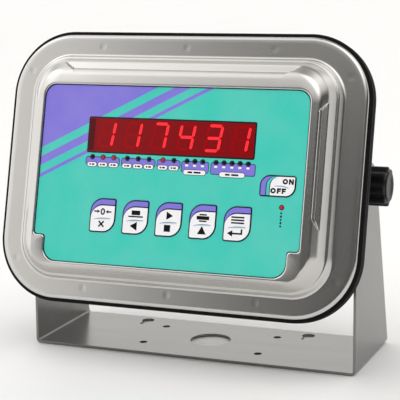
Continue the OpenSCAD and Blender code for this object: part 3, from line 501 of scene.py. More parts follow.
def station_at(path, offset):
    """The path's station where it passes a half width; half widths fall along the path."""
    for (x0, y0), (x1, y1) in zip(path, path[1:]):
        if x0 >= offset >= x1 and x0 > x1:
            return y0 + (y1 - y0) * (x0 - offset) / (x0 - x1)
    return path[-1][1] if offset < path[-1][0] else path[0][1]


def outline_at(outlines, hx):
    """Outline between the named ones, by its half width."""
    for a, b in zip(outlines, outlines[1:]):
        if a[0] >= hx >= b[0]:
            t = (a[0] - hx) / (a[0] - b[0])
            return tuple(p + (q - p) * t for p, q in zip(a, b))
    return outlines[-1]


def places_along(low, high, clusters, wide, close):
    """Shares from 0 to 1 along a side, close together inside the clusters."""
    s, out = low, []
    while s < high:
        out.append((s - low) / (high - low))
        s += close if any(a <= s <= b for a, b in clusters) else wide
    return out + [1.0]


# Between the corners, with clusters where the pockets end.
SIDE_SHARES = places_along(-55.7, 55.7, [(-42, -27), (43.5, 55)], 4.0, 0.3)
TOP_SHARES = places_along(-93.3, 93.3, [(-94, -81), (81, 94)], 5.0, 0.27)
BOTTOM_SHARES = places_along(-93.3, 93.3, [], 7.0, 1.0)


def cover_ring(hx, top, bottom, r):
    """Points round a cover outline, closest together at the ends of the pockets."""
    points = [(hx, bottom + r + (top - bottom - 2 * r) * t) for t in SIDE_SHARES[:-1]]
    points += arc(hx - r, top - r, r, 0, 90, CORNER_STEPS)[:-1]
    points += [(hx - r - 2 * (hx - r) * t, top) for t in TOP_SHARES[:-1]]
    points += arc(-hx + r, top - r, r, 90, 180, CORNER_STEPS)[:-1]
    points += [(-hx, bottom + r + (top - bottom - 2 * r) * t) for t in SIDE_SHARES[:0:-1]]
    points += arc(-hx + r, bottom + r, r, 180, 270, CORNER_STEPS)[:-1]
    points += [(-hx + r + 2 * (hx - r) * t, bottom) for t in BOTTOM_SHARES[:-1]]
    points += arc(hx - r, bottom + r, r, 270, 360, CORNER_STEPS)[:-1]
    return points


def pocket_share(x, z):
    """1 inside a pocket, 0 outside, with a steep wall at the pocket's slanted ends."""
    top_end = (abs(x) - TOP_START - TOP_SLOPE * (z - PANEL[1])) / TOP_NORM
    slope = SIDE_SLOPE_HIGH if z > POCKET_Z else SIDE_SLOPE_LOW
    side_end = ((abs(z - POCKET_Z) - POCKET_HALF - slope * (abs(x) - PANEL[0]))
                / math.hypot(1, slope))
    t = (min(top_end, side_end) + POCKET_BLEND) / (2 * POCKET_BLEND)
    t = max(0.0, min(1.0, t))
    return 1 - t * t * (3 - 2 * t)


def label_outline(grow):
    """The label's edge, which is notched at its two lower corners."""
    hx, top, bottom = LABEL_HALF + grow, LABEL_TOP + grow, LABEL_BOTTOM - grow
    notch_x, notch_z = hx - NOTCH_W, bottom + NOTCH_H
    f, high, low = NOTCH_FILLET, LABEL_CORNER, LABEL_LOW_CORNER
    right = (arc(notch_x - low, bottom + low, low, 270, 360, LABEL_STEPS)
             + arc(notch_x + f, notch_z - f, f, 180, 90, LABEL_STEPS)
             + arc(hx - f, notch_z + f, f, 270, 360, LABEL_STEPS)
             + arc(hx - high, top - high, high, 0, 90, LABEL_STEPS))
    return right + [(-x, z) for x, z in reversed(right)]


def cover_rings(shrink, steps, extra=()):
    """Rings of the pressed face from the rim inwards, moved into the sheet by the shrink."""
    def inset(o):
        return tuple(v - d for v, d in zip(o, (shrink, shrink, -shrink, shrink)))

    outlines = [inset(o) for o in (RIM, FOOT, STEP, LEDGE, SHELF, PANEL, INNER, FLAT)]
    ys = [y + shrink for y in (RIM_Y, RIM_Y, LEDGE_Y, LEDGE_Y, SHELF_Y, PANEL_Y + PANEL_DROP,
                               PANEL_Y, PANEL_Y)]
    shoulder = [(o[0], y) for o, y in zip(outlines, ys)]
    foot = (PANEL[0] + POCKET_FOOT - shrink, SHELF_Y - FLOOR_RISE + shrink)
    pocket = shoulder[:5] + [foot] + shoulder[5:]
    path_a = smooth_path(shoulder, SHOULDER_CUTS, steps)
    path_b = smooth_path(pocket, POCKET_CUTS, steps)
    offsets = {round(p[0], 3) for p in path_a + path_b}
    offsets |= {round(hx - shrink, 3) for hx in RIM_RINGS}
    offsets = sorted([*offsets, *extra], reverse=True)
    kept = [offsets[0]]
    for o in offsets[1:]:
        if kept[-1] - o > LEAST_RING_GAP:
            kept.append(o)
    rings = []
    for o in kept:
        y_a, y_b = station_at(path_a, o), station_at(path_b, o)
        ring = []
        for x, z in cover_ring(*outline_at(outlines, o)):
            t = pocket_share(x, z) if o < LEDGE[0] + 0.5 else 0.0
            ring.append((x, y_a + (y_b - y_a) * t, z))
        rings.append(ring)
    return rings


def skirt_ring(grow, y):
    """A ring round the cover's skirt, outside it by the growth."""
    hx, top, bottom, r = SKIRT
    return [(x, y, z) for x, z in cover_ring(hx + grow, top + grow, bottom - grow, r + grow)]


def make_cover():
    edge = []
    for i in range(8):
        a = math.radians(90 * i / 8)
        edge.append(skirt_ring(-SKIRT_EDGE * (1 - math.cos(a)), SKIRT_Y - SKIRT_EDGE * math.sin(a)))
    outer = edge + cover_rings(0, 6, POCKET_RINGS)
    inner = [skirt_ring(-COVER_SHEET, SKIRT_Y)] + cover_rings(COVER_SHEET, 2)
    bm = bmesh.new()

    def skin(rings):
        rows = [[bm.verts.new(on_case(*p)) for p in ring] for ring in rings]
        for a, b in zip(rows, rows[1:]):
            for j in range(len(a)):
                k = (j + 1) % len(a)
                bm.faces.new((a[j], a[k], b[k], b[j]))
        return rows

    def loop_edges(row):
        return [bm.edges.get((row[j], row[(j + 1) % len(row)])) for j in range(len(row))]

    rows = skin(list(reversed(inner)) + outer)
    # The rounded rim of the label's opening: growth of the outline, and depth.
    curl = [(0.9, 0), (0.45, 0.05), (0.15, 0.22), (0, 0.55), (0, COVER_SHEET)]
    hole = skin([[(x, PANEL_Y + y, z) for x, z in label_outline(grow)] for grow, y in curl])
    normal = on_case(0, -1, 0) - on_case(0, 0, 0)
    for row, rim, way in ((rows[-1], hole[0], normal), (rows[0], hole[-1], -normal)):
        bmesh.ops.triangle_fill(bm, use_beauty=True, edges=loop_edges(row) + loop_edges(rim),
                                normal=way)
    bmesh.ops.recalc_face_normals(bm, faces=bm.faces)
    finish_piece(bm, "pressed_cover", "case", ["cover"], ["front_cover"], 40)


# The gasket's reach outside and inside the skirt's outline, the radii of its front and back
# edges, and its shallow groove.
GASKET_OUT, GASKET_IN = 2.5, -12.0
GASKET_FRONT_R, GASKET_BACK_R = 1.0, 0.8
GROOVE = [(0, -38.2), (0.25, -37.7), (0.25, -37.3), (0, -36.8)]


def make_gasket():
    profile = []
    for i in range(7):
        a = math.radians(90 * i / 6)
        profile.append((GASKET_OUT - GASKET_FRONT_R + GASKET_FRONT_R * math.sin(a),
                        SKIRT_Y + GASKET_FRONT_R - GASKET_FRONT_R * math.cos(a)))
    profile += [(GASKET_OUT - depth, y) for depth, y in GROOVE]
    for i in range(5):
        a = math.radians(90 * i / 4)
        profile.append((GASKET_OUT - GASKET_BACK_R + GASKET_BACK_R * math.cos(a),
                        GASKET_BACK_Y - GASKET_BACK_R + GASKET_BACK_R * math.sin(a)))
    profile += [(GASKET_IN, GASKET_BACK_Y), (GASKET_IN, SKIRT_Y), (-1.4, SKIRT_Y), (0.1, SKIRT_Y)]
    form = Form()
    form.rings([skirt_ring(grow, y) for grow, y in profile], cyclic=True)
    form.build("cover_seal", "case", ["rubber"], ["cover_gasket"], 50)


# Half width, half height and corner radius of the housing; its wall and the radius of its rear
# edge; the reach of its flange and the radius of the flange's root.
HOUSING = (122.0, 85.0, 28.0)
HOUSING_WALL, REAR_EDGE = 1.5, 8
FLANGE_X, FLANGE_Z, FLANGE_ROOT = 15.4, 12.6, 1.6


def make_housing():
    rings = []

    def ring(grow_x, grow_z, y):
        hx, hz, r = HOUSING
        rings.append([(x, y, z) for x, z in
                      round_box(hx + grow_x, hz + grow_z, -hz - grow_z, r + grow_z, 16)])

    def inset(depth, y):
        ring(-depth, -depth, y)

    inner = REAR_EDGE - HOUSING_WALL
    for i in range(5, -1, -1):
        a = math.radians(90 * i / 5)
        inset(HOUSING_WALL + inner * (1 - math.cos(a)), REAR_Y - REAR_EDGE + inner * math.sin(a))
    inset(HOUSING_WALL, GASKET_BACK_Y)
    for bevel, y in ((0.2, GASKET_BACK_Y), (0, GASKET_BACK_Y + 0.3), (0, FLANGE_BACK_Y - 0.3),
                     (0.2, FLANGE_BACK_Y)):
        ring(FLANGE_X - bevel, FLANGE_Z - bevel, y)
    for i in range(5):
        a = math.radians(90 * i / 4)
        inset(-FLANGE_ROOT * (1 - math.sin(a)), FLANGE_BACK_Y + FLANGE_ROOT * (1 - math.cos(a)))
    for i in range(1, 11):
        a = math.radians(90 * i / 10)
        inset(REAR_EDGE * (1 - math.cos(a)), REAR_Y - REAR_EDGE + REAR_EDGE * math.sin(a))
    form = Form()
    form.rings(rings, cap_first=True, cap_last=True)
    form.build("welded_housing", "case", ["steel"], ["rear_housing"], 40)


# Window, digits and lamps

# Which segments are lit in each figure.
SEGMENTS = {"1": "bc", "3": "abcdg", "4": "bcfg", "7": "abc"}
READING = "117431"
FIRST_DIGIT_X, DIGIT_Z = -50.4, 23.3
DIGIT_PITCH = 21.05
POINT_X, POINT_R = 7.4, 1.0
STROKE, STROKE_GAP = 2.15, 0.28
HALF_W, HALF_H = 5.15, 8.95
SLANT = math.tan(math.radians(8.5))
LIT_DEPTH, UNLIT_DEPTH = 0.06, 0.04

BORDER = 1.0
# Width and inset of a darker strip at the window's left: painted shade of the window's inner side
# wall.
SHADE_STRIP_W, SHADE_STRIP_INSET = 4.3, 1.6
LENS_R, LENS_CROWN = 1.32, 0.45


def segment(name):
    """Outline of one segment, round the middle of its digit."""
    gap, s = STROKE_GAP, STROKE / 2
    if name in "adg":
        z = {"a": HALF_H, "d": -HALF_H, "g": 0}[name]
        w = HALF_W - gap
        shape = [(-w, z), (-w + s, z + s), (w - s, z + s), (w, z), (w - s, z - s), (-w + s, z - s)]
    else:
        x = HALF_W if name in "bc" else -HALF_W
        low = gap if name in "bf" else -HALF_H + gap
        high = HALF_H - gap if name in "bf" else -gap
        shape = [(x, low), (x + s, low + s), (x + s, high - s), (x, high), (x - s, high - s),
                 (x - s, low + s)]
    return [(px + SLANT * pz, pz) for px, pz in shape]


def make_window():
    form = Form()
    hx, hz = WINDOW_W / 2, WINDOW_H / 2
    front = WINDOW_FRONT_Y
    rings = [(0.0, OVERLAY_Y + 2.1), (0.0, front + 0.12), (0.12, front)]
    form.rings([[(x, y, z + WINDOW_Z) for x, z in round_box(hx - i, hz - i, -hz + i, 1.2 - i, 6)]
                for i, y in rings], 0, True, True)
    inner = moved(round_box(hx - BORDER, hz - BORDER, -hz + BORDER, 0.8, 6), 0, WINDOW_Z)
    form.plate(inner, front - 0.02, front + 0.3, 1)
    # A darker strip along the window's left edge: painted shade standing in for the window's inner
    # side wall.
    left, reach = -hx + BORDER, hz - SHADE_STRIP_INSET
    form.plate([(left + 0.05, WINDOW_Z - reach), (left + SHADE_STRIP_W, WINDOW_Z - reach),
                (left + SHADE_STRIP_W, WINDOW_Z + reach), (left + 0.05, WINDOW_Z + reach)],
               front - 0.03, front + 0.2, 2)
    form.build("filter_pane", "case", ["border", "pane", "pane_painted_shade"],
               ["display_window"])


def make_digits():
    digits = Form()
    front = WINDOW_FRONT_Y
    for i, figure in enumerate(READING):
        cx = FIRST_DIGIT_X + DIGIT_PITCH * i
        for name in "abcdefg":
            depth, mark = (LIT_DEPTH, 0) if name in SEGMENTS[figure] else (UNLIT_DEPTH, 1)
            digits.plate(moved(segment(name), cx, DIGIT_Z), front - depth, front, mark)
        digits.plate(disc(cx + POINT_X, DIGIT_Z - HALF_H - 0.1, POINT_R, 14),
                     front - UNLIT_DEPTH, front, 1)
    digits.build("digit_segments", "case", ["lit", "unlit"])


def lens(form, cx, cz, mark):
    """A small domed lens on a short barrel."""
    rings = [[(x, OVERLAY_Y + 1.5, z) for x, z in disc(cx, cz, LENS_R)]]
    for i in range(6):
        a = math.radians(80 * i / 5)
        rings.append([(x, OVERLAY_Y - 0.12 - LENS_CROWN * math.sin(a), z)
                      for x, z in disc(cx, cz, LENS_R * math.cos(a))])
    form.rings(rings, mark, True, True)


def make_lamps():
    form = Form()
    for i, x in enumerate(LAMP_XS):
        lens(form, x, LAMP_Z, 0 if i in LAMPS_LIT else 1)
    form.build("status_lenses", "case", ["lens_on", "lens_off"], ["status_lamps"])
    alarm = Form()
    lens(alarm, ALARM_X, ALARM_Z, 0)
    alarm.build("alarm_lens", "case", ["lens_on"], ["alarm_lamp"])


# Printed graphics on the label, and a painted shadow line round its edge, in layers a fiftieth of a
# millimetre thick

LAYER = 0.02
SUNK = 0.01
INKS = ["navy", "violet", "white"]

# Groups of lamps with a caption for each: left and right edge, and the lamps.
SINGLE_GROUPS = [(-66.3, -38.4, (0, 1, 2)), (-37.3, -9.9, (3, 4, 5)), (-8.9, 9.9, (6, 7))]
# Groups with one caption: left and right edge, bottom, the caption's edges, and the lamps.
SHARED_GROUPS = [(10.6, 32.0, -2.2, 12.2, 30.0, (8, 9, 10)),
                 (33.2, 67.4, -2.6, 40.0, 59.8, (11, 12, 13, 14, 15))]


def ink(form, outline, layer, colour):
    form.plate(outline, OVERLAY_Y - LAYER * layer, OVERLAY_Y + SUNK, INKS.index(colour))


def ink_loop(form, outer, inner, layer):
    form.band(outer, inner, OVERLAY_Y - LAYER * layer, OVERLAY_Y + SUNK, INKS.index("navy"))


def make_print():
    form = Form()

    def tile(x0, x1, z0, z1, r, colour, line, layer):
        """A round-cornered tile with a dark line round it."""
        cx, cz = (x0 + x1) / 2, (z0 + z1) / 2
        hx, hz = (x1 - x0) / 2, (z1 - z0) / 2
        ink(form, moved(round_box(hx, hz, -hz, r, 6), cx, cz), layer, "navy")
        ink(form, moved(round_box(hx - line, hz - line, -hz + line, max(0.2, r - line), 6), cx, cz),
            layer + 1, colour)

    def dash(cx, cz, w, h, colour="navy"):
        """A short bar in the place of a word."""
        ink(form, moved(round_box(w / 2, h / 2, -h / 2, h * 0.3, 3), cx, cz), 5, colour)

    for x0, x1, lamps in SINGLE_GROUPS:
        tile(x0, x1, -0.2, LAMP_Z + 0.4, 2.2, "violet", 0.5, 1)
        for i in lamps:
            x = LAMP_XS[i]
            tile(x - 4.1, x + 4.1, -1.3, 2.6, 1.9, "white", 0.4, 3)
            dash(x - 1.5, 0.65, 1.3, 1.2)
            dash(x + 0.9, 0.65, 2.2, 1.2)
    for x0, x1, bottom, low, high, lamps in SHARED_GROUPS:
        tile(x0, x1, bottom, LAMP_Z + 0.2, 1.8, "violet", 0.5, 1)
        tile(low, high, bottom - 1.6, bottom + 2.5, 2.0, "white", 0.4, 3)
        middle = (low + high) / 2
        dash(middle - 3.4, bottom + 0.45, 3.6, 1.3)
        dash(middle + 2.2, bottom + 0.45, 5.4, 1.3)
        for i in lamps:
            dash(LAMP_XS[i], LAMP_Z - 3.0, 2.4, 1.5, "white")
    # A dark navy line round the label's edge: painted shadow of the gap between the label and the
    # cover's cut edge.
    ink_loop(form, label_outline(-0.02), label_outline(-0.6), 1)
    for x in LAMP_XS:
        ink_loop(form, disc(x, LAMP_Z, 1.95), disc(x, LAMP_Z, 1.5), 6)
    ink_loop(form, disc(ALARM_X, ALARM_Z, 1.9), disc(ALARM_X, ALARM_Z, 1.5), 2)
    for i in range(5):
        dash(ALARM_X, ALARM_Z - 4.0 - 2.3 * i, 1.3, 1.5 if i % 2 else 1.1)
    form.build("label_print_and_edge_shadow", "case", INKS)


# Keys

# The dark edge left round the prints of a key, and its slimmer corners.
EDGE, NIP_EDGE = 0.85, 0.6
KEY_INKS = ["navy", "white", "violet", "mint", "ink", "lilac", "teal"]
# Width of a row key's violet band, and where its white body starts below the top edge.
BAND_W, BODY_START = 3.6, 4.5
# The power key's bands, from its left edge: violet, teal and the white body.
POWER_BANDS = [(0, 3.6, "violet"), (4.2, 6.3, "teal")]
POWER_BODY_START = 6.9


def key_base(form, x, z, w, h, bow):
    """An embossed film pad with a rounded edge."""
    rings = []
    for inset, y in ((0.0, KEY_FRONT_Y + 0.65), (0.0, KEY_FRONT_Y + 0.2),
                     (0.05, KEY_FRONT_Y + 0.08), (0.18, KEY_FRONT_Y)):
        outline = moved(leaf(w - 2 * inset, h - 2 * inset, bow - inset, KEY_NIP - inset), x, z)
        rings.append([(px, y, pz) for px, pz in outline])
    form.rings(rings, 0, True, True)


def key_ink(form, outline, layer, colour):
    form.plate(outline, KEY_FRONT_Y - LAYER * layer, KEY_FRONT_Y + SUNK, KEY_INKS.index(colour))


def row_key_parts(x):
    """Outlines of the band along a row key's top edge and of the white body below it."""
    w, h, bow, nip = KEY_W - 2 * EDGE, KEY_H - 2 * EDGE, KEY_BOW - EDGE, KEY_NIP - NIP_EDGE

    def sweep(shift):
        return arc(-w / 2 + bow, h / 2 - bow - shift, bow, 180, 90, LEAF_STEPS)

    def line(shift):
        return sweep(shift) + [(w / 2, h / 2 - shift)]

    band = sweep(0) + arc(w / 2 - nip, h / 2 - nip, nip, 90, 0, 4) + line(BAND_W)[::-1]
    foot = (arc(w / 2 - bow, -h / 2 + bow, bow, 360, 270, LEAF_STEPS)
            + arc(-w / 2 + nip, -h / 2 + nip, nip, 270, 180, 4))
    return moved(band, x, KEY_Z), moved(line(BODY_START) + foot, x, KEY_Z)


def stroke(points, width, taper=1.0):
    """A band of even width along a line, narrower towards its ends by the taper."""
    left, right = [], []
    n = len(points)
    for i, (x, z) in enumerate(points):
        a, b = points[max(0, i - 1)], points[min(n - 1, i + 1)]
        dx, dz = b[0] - a[0], b[1] - a[1]
        length = math.hypot(dx, dz)
        t = i / (n - 1)
        half = width / 2 * (taper + (1 - taper) * math.sin(math.pi * t))
        left.append((x - dz / length * half, z + dx / length * half))
        right.append((x + dz / length * half, z - dx / length * half))
    return left + right[::-1]


def swoosh(cx, cz, flip=1, half=6.6):
    """A line that rises in a bow and then runs nearly level."""
    points = []
    for i in range(17):
        t = i / 16
        points.append((cx + flip * (-half + 2 * half * t),
                       cz - 1.5 * (1 - t) ** 3 + 0.25 * (1 - t) - 0.25 * t))
    return points


def triangle(cx, cz, r, turn):
    """An even triangle whose tip points along the turn, in degrees."""
    return [(cx + r * math.cos(math.radians(turn + a)), cz + r * math.sin(math.radians(turn + a)))
            for a in (0, 120, 240)]


def oval_loop(form, cx, cz, hx, hz, width):
    outer, inner = [[(cx + (hx - inset) * math.cos(math.radians(a)),
                      cz + (hz - inset) * math.sin(math.radians(a))) for a in range(0, 360, 15)]
                    for inset in (0, width)]
    form.band(outer, inner, KEY_FRONT_Y - LAYER * 4, KEY_FRONT_Y + SUNK, KEY_INKS.index("ink"))


def bar(cx, cz, w, h):
    return [(cx - w / 2, cz - h / 2), (cx + w / 2, cz - h / 2), (cx + w / 2, cz + h / 2),
            (cx - w / 2, cz + h / 2)]


def legend(name, form, x, z):
    """Plain symbols above and below the middle line of each row key."""
    up, down = z + 2.7, z - 6.4

    def put(outline):
        key_ink(form, outline, 4, "ink")

    if name == "key_zero":
        oval_loop(form, x, up, 1.8, 2.5, 1.05)
        for s in (-1, 1):
            put(bar(x + s * 5.6, up, 2.8, 0.95))
            put(triangle(x + s * 3.7, up, 1.5, 0 if s < 0 else 180))
        for turn in (45, 135):
            a = math.radians(turn)
            put(stroke([(x - 0.6 - 2.9 * math.cos(a), down - 2.9 * math.sin(a)),
                        (x - 0.6 + 2.9 * math.cos(a), down + 2.9 * math.sin(a))], 1.2))
    if name == "key_left":
        put(bar(x + 0.3, up - 2.2, 11.6, 1.0))
        put(bar(x + 0.3, up + 0.6, 6.8, 3.3))
        put(triangle(x - 0.1, down, 3.7, 180))
    if name == "key_run":
        put(triangle(x, up, 3.4, 0))
        put(bar(x - 0.6, down, 4.9, 4.9))
    if name == "key_up":
        put(bar(x + 0.2, up, 9.6, 2.6))
        put(bar(x + 0.2, up + 2.3, 5.6, 1.0))
        put(bar(x + 0.2, up - 2.3, 5.6, 1.0))
        put(triangle(x - 0.1, down - 0.6, 3.9, 90))
    if name == "key_enter":
        for dz in (-2.0, 0, 2.0):
            put(bar(x + 0.3, up + dz, 9.8, 1.1))
        put(bar(x + 0.2, down - 0.4, 8.4, 1.2))
        put(bar(x + 3.8, down + 1.2, 1.2, 3.4))
        put(triangle(x - 4.4, down - 0.4, 2.6, 180))


def make_row_keys():
    for name, x in KEY_PLACES.items():
        form = Form()
        key_base(form, x, KEY_Z, KEY_W, KEY_H, KEY_BOW)
        band, body = row_key_parts(x)
        key_ink(form, band, 2, "violet")
        key_ink(form, body, 2, "white")
        line = swoosh(x, KEY_Z - 1.9)
        key_ink(form, stroke(moved(line[3:], 0, -0.7), 0.9, 0.3), 3, "mint")
        key_ink(form, stroke(line, 0.75, 0.55), 4, "lilac")
        legend(name, form, x, KEY_Z)
        form.build(name + "_pad", name + "_body", KEY_INKS[:-1], [name])


def make_power_key():
    form = Form()
    key_base(form, POWER_X, POWER_Z, POWER_W, POWER_H, POWER_BOW)
    w, h, bow = POWER_W - 2 * EDGE, POWER_H - 2 * EDGE, POWER_BOW - EDGE

    def edge(shift):
        return ([(-w / 2 + shift, -h / 2)]
                + arc(-w / 2 + bow + shift, h / 2 - bow, bow, 180, 90, LEAF_STEPS))

    for start, end, colour in POWER_BANDS:
        key_ink(form, moved(edge(start) + edge(end)[::-1], POWER_X, POWER_Z), 2, colour)
    body = (edge(POWER_BODY_START) + [(w / 2, h / 2)]
            + arc(w / 2 - bow, -h / 2 + bow, bow, 360, 270, LEAF_STEPS))
    key_ink(form, moved(body, POWER_X, POWER_Z), 2, "white")
    line = swoosh(POWER_X + 2.9, POWER_Z + 0.2, -1, 5.2)
    key_ink(form, stroke(line, 0.7, 0.6), 3, "lilac")
    letters(form, "ON", POWER_X + 5.4, POWER_Z + 3.4)
    letters(form, "OFF", POWER_X - 3.1, POWER_Z - 3.3)
    form.build("key_power_pad", "key_power_body", KEY_INKS, ["key_power"])


def letters(form, word, x, z):
    """Plain capitals for a switch."""
    tall, line, pitch = 3.8, 1.15, 4.0

    def put(outline, layer=4):
        key_ink(form, outline, layer, "ink")

    for i, letter in enumerate(word):
        cx = x + i * pitch + (0.4 if i and word[i - 1] == "O" else 0)
        if letter == "O":
            oval_loop(form, cx, z, 2.0, tall / 2, line)
        if letter == "N":
            for s in (-1, 1):
                put(bar(cx + s * 1.2, z, line, tall))
            put([(cx - 1.75, z + tall / 2), (cx - 0.6, z + tall / 2),
                 (cx + 1.75, z - tall / 2), (cx + 0.6, z - tall / 2)], 5)
        if letter == "F":
            put(bar(cx - 1.0, z, line, tall))
            put(bar(cx + 0.15, z + tall / 2 - line / 2, 2.7, line), 5)
            put(bar(cx, z - 0.1, 2.2, line * 0.9), 5)


# Knobs

# The knob's seat: outer face of the arm, gap, washer and gap again.
KNOB_START = 131.5 + 0.1 + 1.6 + 0.1
KNOB_LENGTH = 15.7
LOBES, LOBE_PLACE, LOBE_R = 8, 10.8, 3.7
KNOB_CORE, LOBE_BLEND = 12.3, 0.9
KNOB_POINTS = 160


def lobed(angle):
    """The knob's radius at an angle, with the lobes blended into its core."""
    step = 2 * math.pi / LOBES
    phi = (angle + step / 2) % step - step / 2
    inside = LOBE_R * LOBE_R - (LOBE_PLACE * math.sin(phi)) ** 2
    lobe = LOBE_PLACE * math.cos(phi) + math.sqrt(inside) if inside > 0 else 0
    blend = max(0.0, LOBE_BLEND - abs(lobe - KNOB_CORE)) / LOBE_BLEND
    return max(lobe, KNOB_CORE) + blend * blend * LOBE_BLEND / 4


def make_knob(side, sign):
    def place(x, angle, r):
        return Vector((sign * x * MM, (PIVOT_Y + r * math.sin(angle)) * MM,
                       (PIVOT_Z + r * math.cos(angle)) * MM))

    start, end = KNOB_START, KNOB_START + KNOB_LENGTH
    angles = [2 * math.pi * i / KNOB_POINTS for i in range(KNOB_POINTS)]
    # Stations along the knob, each with what it makes of the radius.
    rings = [(start, lambda r: r - 0.7), (start + 0.35, lambda r: r - 0.2),
             (start + 0.9, lambda r: r)]
    rings += [(start + 1.5 + i * 2.9, lambda r: r) for i in range(5)]
    rings += [(end - 1.75, lambda r: r - 0.03), (end - 1.45, lambda r: r - 0.16),
              (end - 1.2, lambda r: r - 0.42), (end - 1.05, lambda r: r - 0.85),
              (end - 0.98, lambda r: min(r - 1.4, 11.9)), (end - 0.9, lambda r: 11.4),
              (end - 0.35, lambda r: 10.9), (end - 0.1, lambda r: 10.65), (end, lambda r: 10.2),
              (end, lambda r: 6.6), (end - 0.25, lambda r: 6.2), (end - 0.25, lambda r: 2.0)]
    form = Form(place)
    form.rings([[(x, a, scale(lobed(a))) for a in angles] for x, scale in rings], 0, True, True)
    form.build(side + "_grip", side + "_turn", ["knob"], [side + "_knob"], 45)


# CAD solids that keep their shape, some of them with rounded edges

SHARP_ANGLE = 28


def rounded(node, width, key):
    """A copy of a CAD solid with its sharp edges rounded."""
    source = frame["nodes"][node]
    bm = bmesh.new()
    bm.from_mesh(source.data)
    bmesh.ops.remove_doubles(bm, verts=bm.verts, dist=1e-6)
    bmesh.ops.dissolve_limit(bm, angle_limit=math.radians(0.5), verts=bm.verts, edges=bm.edges)
    edges = [e for e in bm.edges if len(e.link_faces) == 2
             and e.calc_face_angle(0) > math.radians(SHARP_ANGLE)]
    bmesh.ops.bevel(bm, geom=edges, offset=width * MM, offset_type="OFFSET", segments=2,
                    profile=0.5, affect="EDGES", clamp_overlap=True)
    bmesh.ops.recalc_face_normals(bm, faces=bm.faces)
    finish_piece(bm, node + "_form", source["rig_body"], [key], [node], 40, weighted=True)


# Solids that get rounded edges: the width of the edges and the look of each.
ROUNDED = {
    "bracket": (0.45, "sheet"), "stud_nuts": (0.25, "bright"), "cover_studs": (0.3, "bright"),
    "stud_washers": (0.12, "bright"), "gland_bodies": (0.3, "brass"),
    "gland_caps": (0.5, "brass"), "gland_seals": (0.4, "rubber"), "vent_plug": (0.7, "knob"),
    "earth_stud": (0.3, "gold"), "earth_nut": (0.3, "gold"), "pivot_pads": (0.6, "rubber"),
    "pivot_bosses": (0.25, "bright"), "left_washer": (0.2, "bright"),
    "right_washer": (0.2, "bright"), "left_screw": (0.4, "bright"),
    "right_screw": (0.4, "bright"),
}
# Solids that stay as they are, each with its look.
KEPT = {
    "label_overlay": "label", "keypad_backing": "plate", "snap_domes": "bright",
    "keypad_tail": "amber", "display_board": "board", "digit_modules": "core",
    "display_spacers": "gold", "display_screws": "bright", "main_board": "board",
    "main_spacers": "gold", "main_screws": "bright", "terminal_blocks": "green",
    "transformer": "core", "relays": "blue", "processor": "core", "fuse_holder": "knob",
    "capacitors": "blue", "ribbon_cable": "grey", "ribbon_sockets": "knob",
    "gland_locknuts": "brass",
}

make_cover()
make_gasket()
make_housing()
make_window()
make_digits()
make_lamps()
make_print()
make_row_keys()
make_power_key()
make_knob("left", -1)
make_knob("right", 1)
for node, (width, key) in ROUNDED.items():
    rounded(node, width, key)
for node, key in KEPT.items():
    data = frame["nodes"][node].data
    data.materials.clear()
    data.materials.append(M[key])

# Stage, light and camera


def direction(azimuth, elevation):
    """Towards a place in the studio; azimuth 0 is where the front faces, 90 the right."""
    a, e = math.radians(azimuth), math.radians(elevation)
    return Vector((math.sin(a) * math.cos(e), -math.cos(a) * math.cos(e), math.sin(e)))


FLOOR_REACH = 12.0
FLOOR_GAP = 0.0004

# Soft areas of the sky: where each lies, the angles at which it starts and ends to fade, and
# its strength. One of them is negative and darkens the back of the ceiling.
SKY_BASE = 0.03
SKY = [
    (direction(-71, 6), 37, 50, 1.24),
    (direction(142, 0), 42, 54, 0.92),
    (direction(17, 82), 43, 63, 0.97),
    (direction(175, 70), 8, 34, -0.65),
    (direction(-147, 10), 24, 50, 1.2),
    (direction(28, 15), 18, 40, 0.05),
    (direction(38, 60), 12, 30, 1.3),
]
STUDIO_MIDDLE = Vector((0, 0, 0.12))
KEY_LIGHT_WAY, KEY_LIGHT_DISTANCE = direction(-58, 56), 1.6
KEY_LIGHT_SIZE, KEY_LIGHT_WATTS = 1.3, 1.6

# Where the camera stands and how it is turned, with its focal length in pixels.
CAMERA_AZIMUTH, CAMERA_ELEVATION, CAMERA_ROLL = 22.777, 11.161, -1.247
CAMERA_PLACE = Vector((0.39816, -0.96359, 0.32028))
CAMERA_FOCUS, PHOTO_WIDTH = 1372.0, 400
SENSOR = 36


def make_floor():
    bm = bmesh.new()
    bmesh.ops.create_grid(bm, x_segments=4, y_segments=4, size=FLOOR_REACH)
    mesh = bpy.data.meshes.new("floor")
    bm.to_mesh(mesh)
    bm.free()
    mesh.materials.append(finish("floor_white", (0.9, 0.9, 0.9, 1), 0.7, vary=0.004, scale=3,
                                 grain=200, relief=10))
    floor = bpy.data.objects.new("floor", mesh)
    floor.location.z = -FLOOR_GAP
    bpy.context.scene.collection.objects.link(floor)


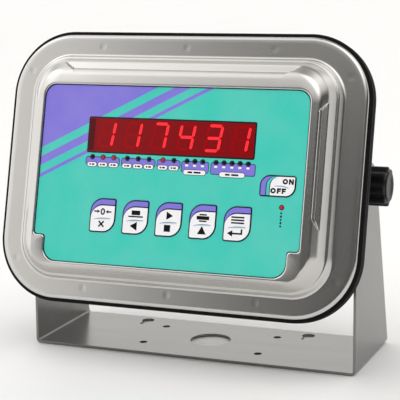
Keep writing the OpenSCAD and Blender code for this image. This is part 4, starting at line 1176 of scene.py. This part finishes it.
def make_world():
    """A studio with soft bright areas round the object, and plain white for the camera."""
    world = bpy.data.worlds.new("studio")
    bpy.context.scene.world = world
    world.use_nodes = True
    tree = world.node_tree
    background = tree.nodes["Background"]
    coords = tree.nodes.new("ShaderNodeTexCoord")
    total = None
    for way, start, end, power in SKY:
        dot = tree.nodes.new("ShaderNodeVectorMath")
        dot.operation = "DOT_PRODUCT"
        dot.inputs[1].default_value = way
        tree.links.new(coords.outputs["Generated"], dot.inputs[0])
        node = tree.nodes.new("ShaderNodeMapRange")
        node.interpolation_type = "SMOOTHSTEP"
        for key, number in (("From Min", math.cos(math.radians(end))),
                            ("From Max", math.cos(math.radians(start))), ("To Max", power)):
            node.inputs[key].default_value = number
        tree.links.new(dot.outputs["Value"], node.inputs["Value"])
        total = node.outputs[0] if total is None else math_node(tree, "ADD", total, node.outputs[0])
    total = math_node(tree, "ADD", total, SKY_BASE)
    tree.links.new(total, background.inputs["Strength"])
    plain = tree.nodes.new("ShaderNodeBackground")
    path = tree.nodes.new("ShaderNodeLightPath")
    mix = tree.nodes.new("ShaderNodeMixShader")
    tree.links.new(path.outputs["Is Camera Ray"], mix.inputs[0])
    tree.links.new(background.outputs[0], mix.inputs[1])
    tree.links.new(plain.outputs[0], mix.inputs[2])
    plain.inputs["Color"].default_value = (1, 1, 1, 1)
    plain.inputs["Strength"].default_value = 1.0
    background.inputs["Color"].default_value = (1, 0.99, 0.97, 1)
    tree.links.new(mix.outputs[0], tree.nodes["World Output"].inputs["Surface"])


def make_key_light():
    data = bpy.data.lights.new("key_light", "AREA")
    data.shape = "RECTANGLE"
    data.size = data.size_y = KEY_LIGHT_SIZE
    data.energy = KEY_LIGHT_WATTS
    lamp = bpy.data.objects.new("key_light", data)
    lamp.location = STUDIO_MIDDLE + KEY_LIGHT_WAY * KEY_LIGHT_DISTANCE
    lamp.rotation_euler = KEY_LIGHT_WAY.to_track_quat("Z", "Y").to_euler()
    bpy.context.scene.collection.objects.link(lamp)


def make_camera():
    back = direction(CAMERA_AZIMUTH, CAMERA_ELEVATION)
    azimuth, roll = math.radians(CAMERA_AZIMUTH), math.radians(CAMERA_ROLL)
    right = Vector((math.cos(azimuth), math.sin(azimuth), 0))
    up = back.cross(right)
    turned_right = right * math.cos(roll) + up * math.sin(roll)
    turned_up = -right * math.sin(roll) + up * math.cos(roll)
    data = bpy.data.cameras.new("camera")
    data.sensor_width = SENSOR
    data.lens = CAMERA_FOCUS / PHOTO_WIDTH * SENSOR
    data.clip_end = 50
    camera = bpy.data.objects.new("camera", data)
    rotation = Matrix((turned_right, turned_up, back)).transposed().to_4x4()
    camera.matrix_world = Matrix.Translation(CAMERA_PLACE) @ rotation
    bpy.context.scene.collection.objects.link(camera)
    bpy.context.scene.camera = camera


bpy.context.scene.view_settings.view_transform = "Standard"
make_floor()
make_world()
make_key_light()
make_camera()
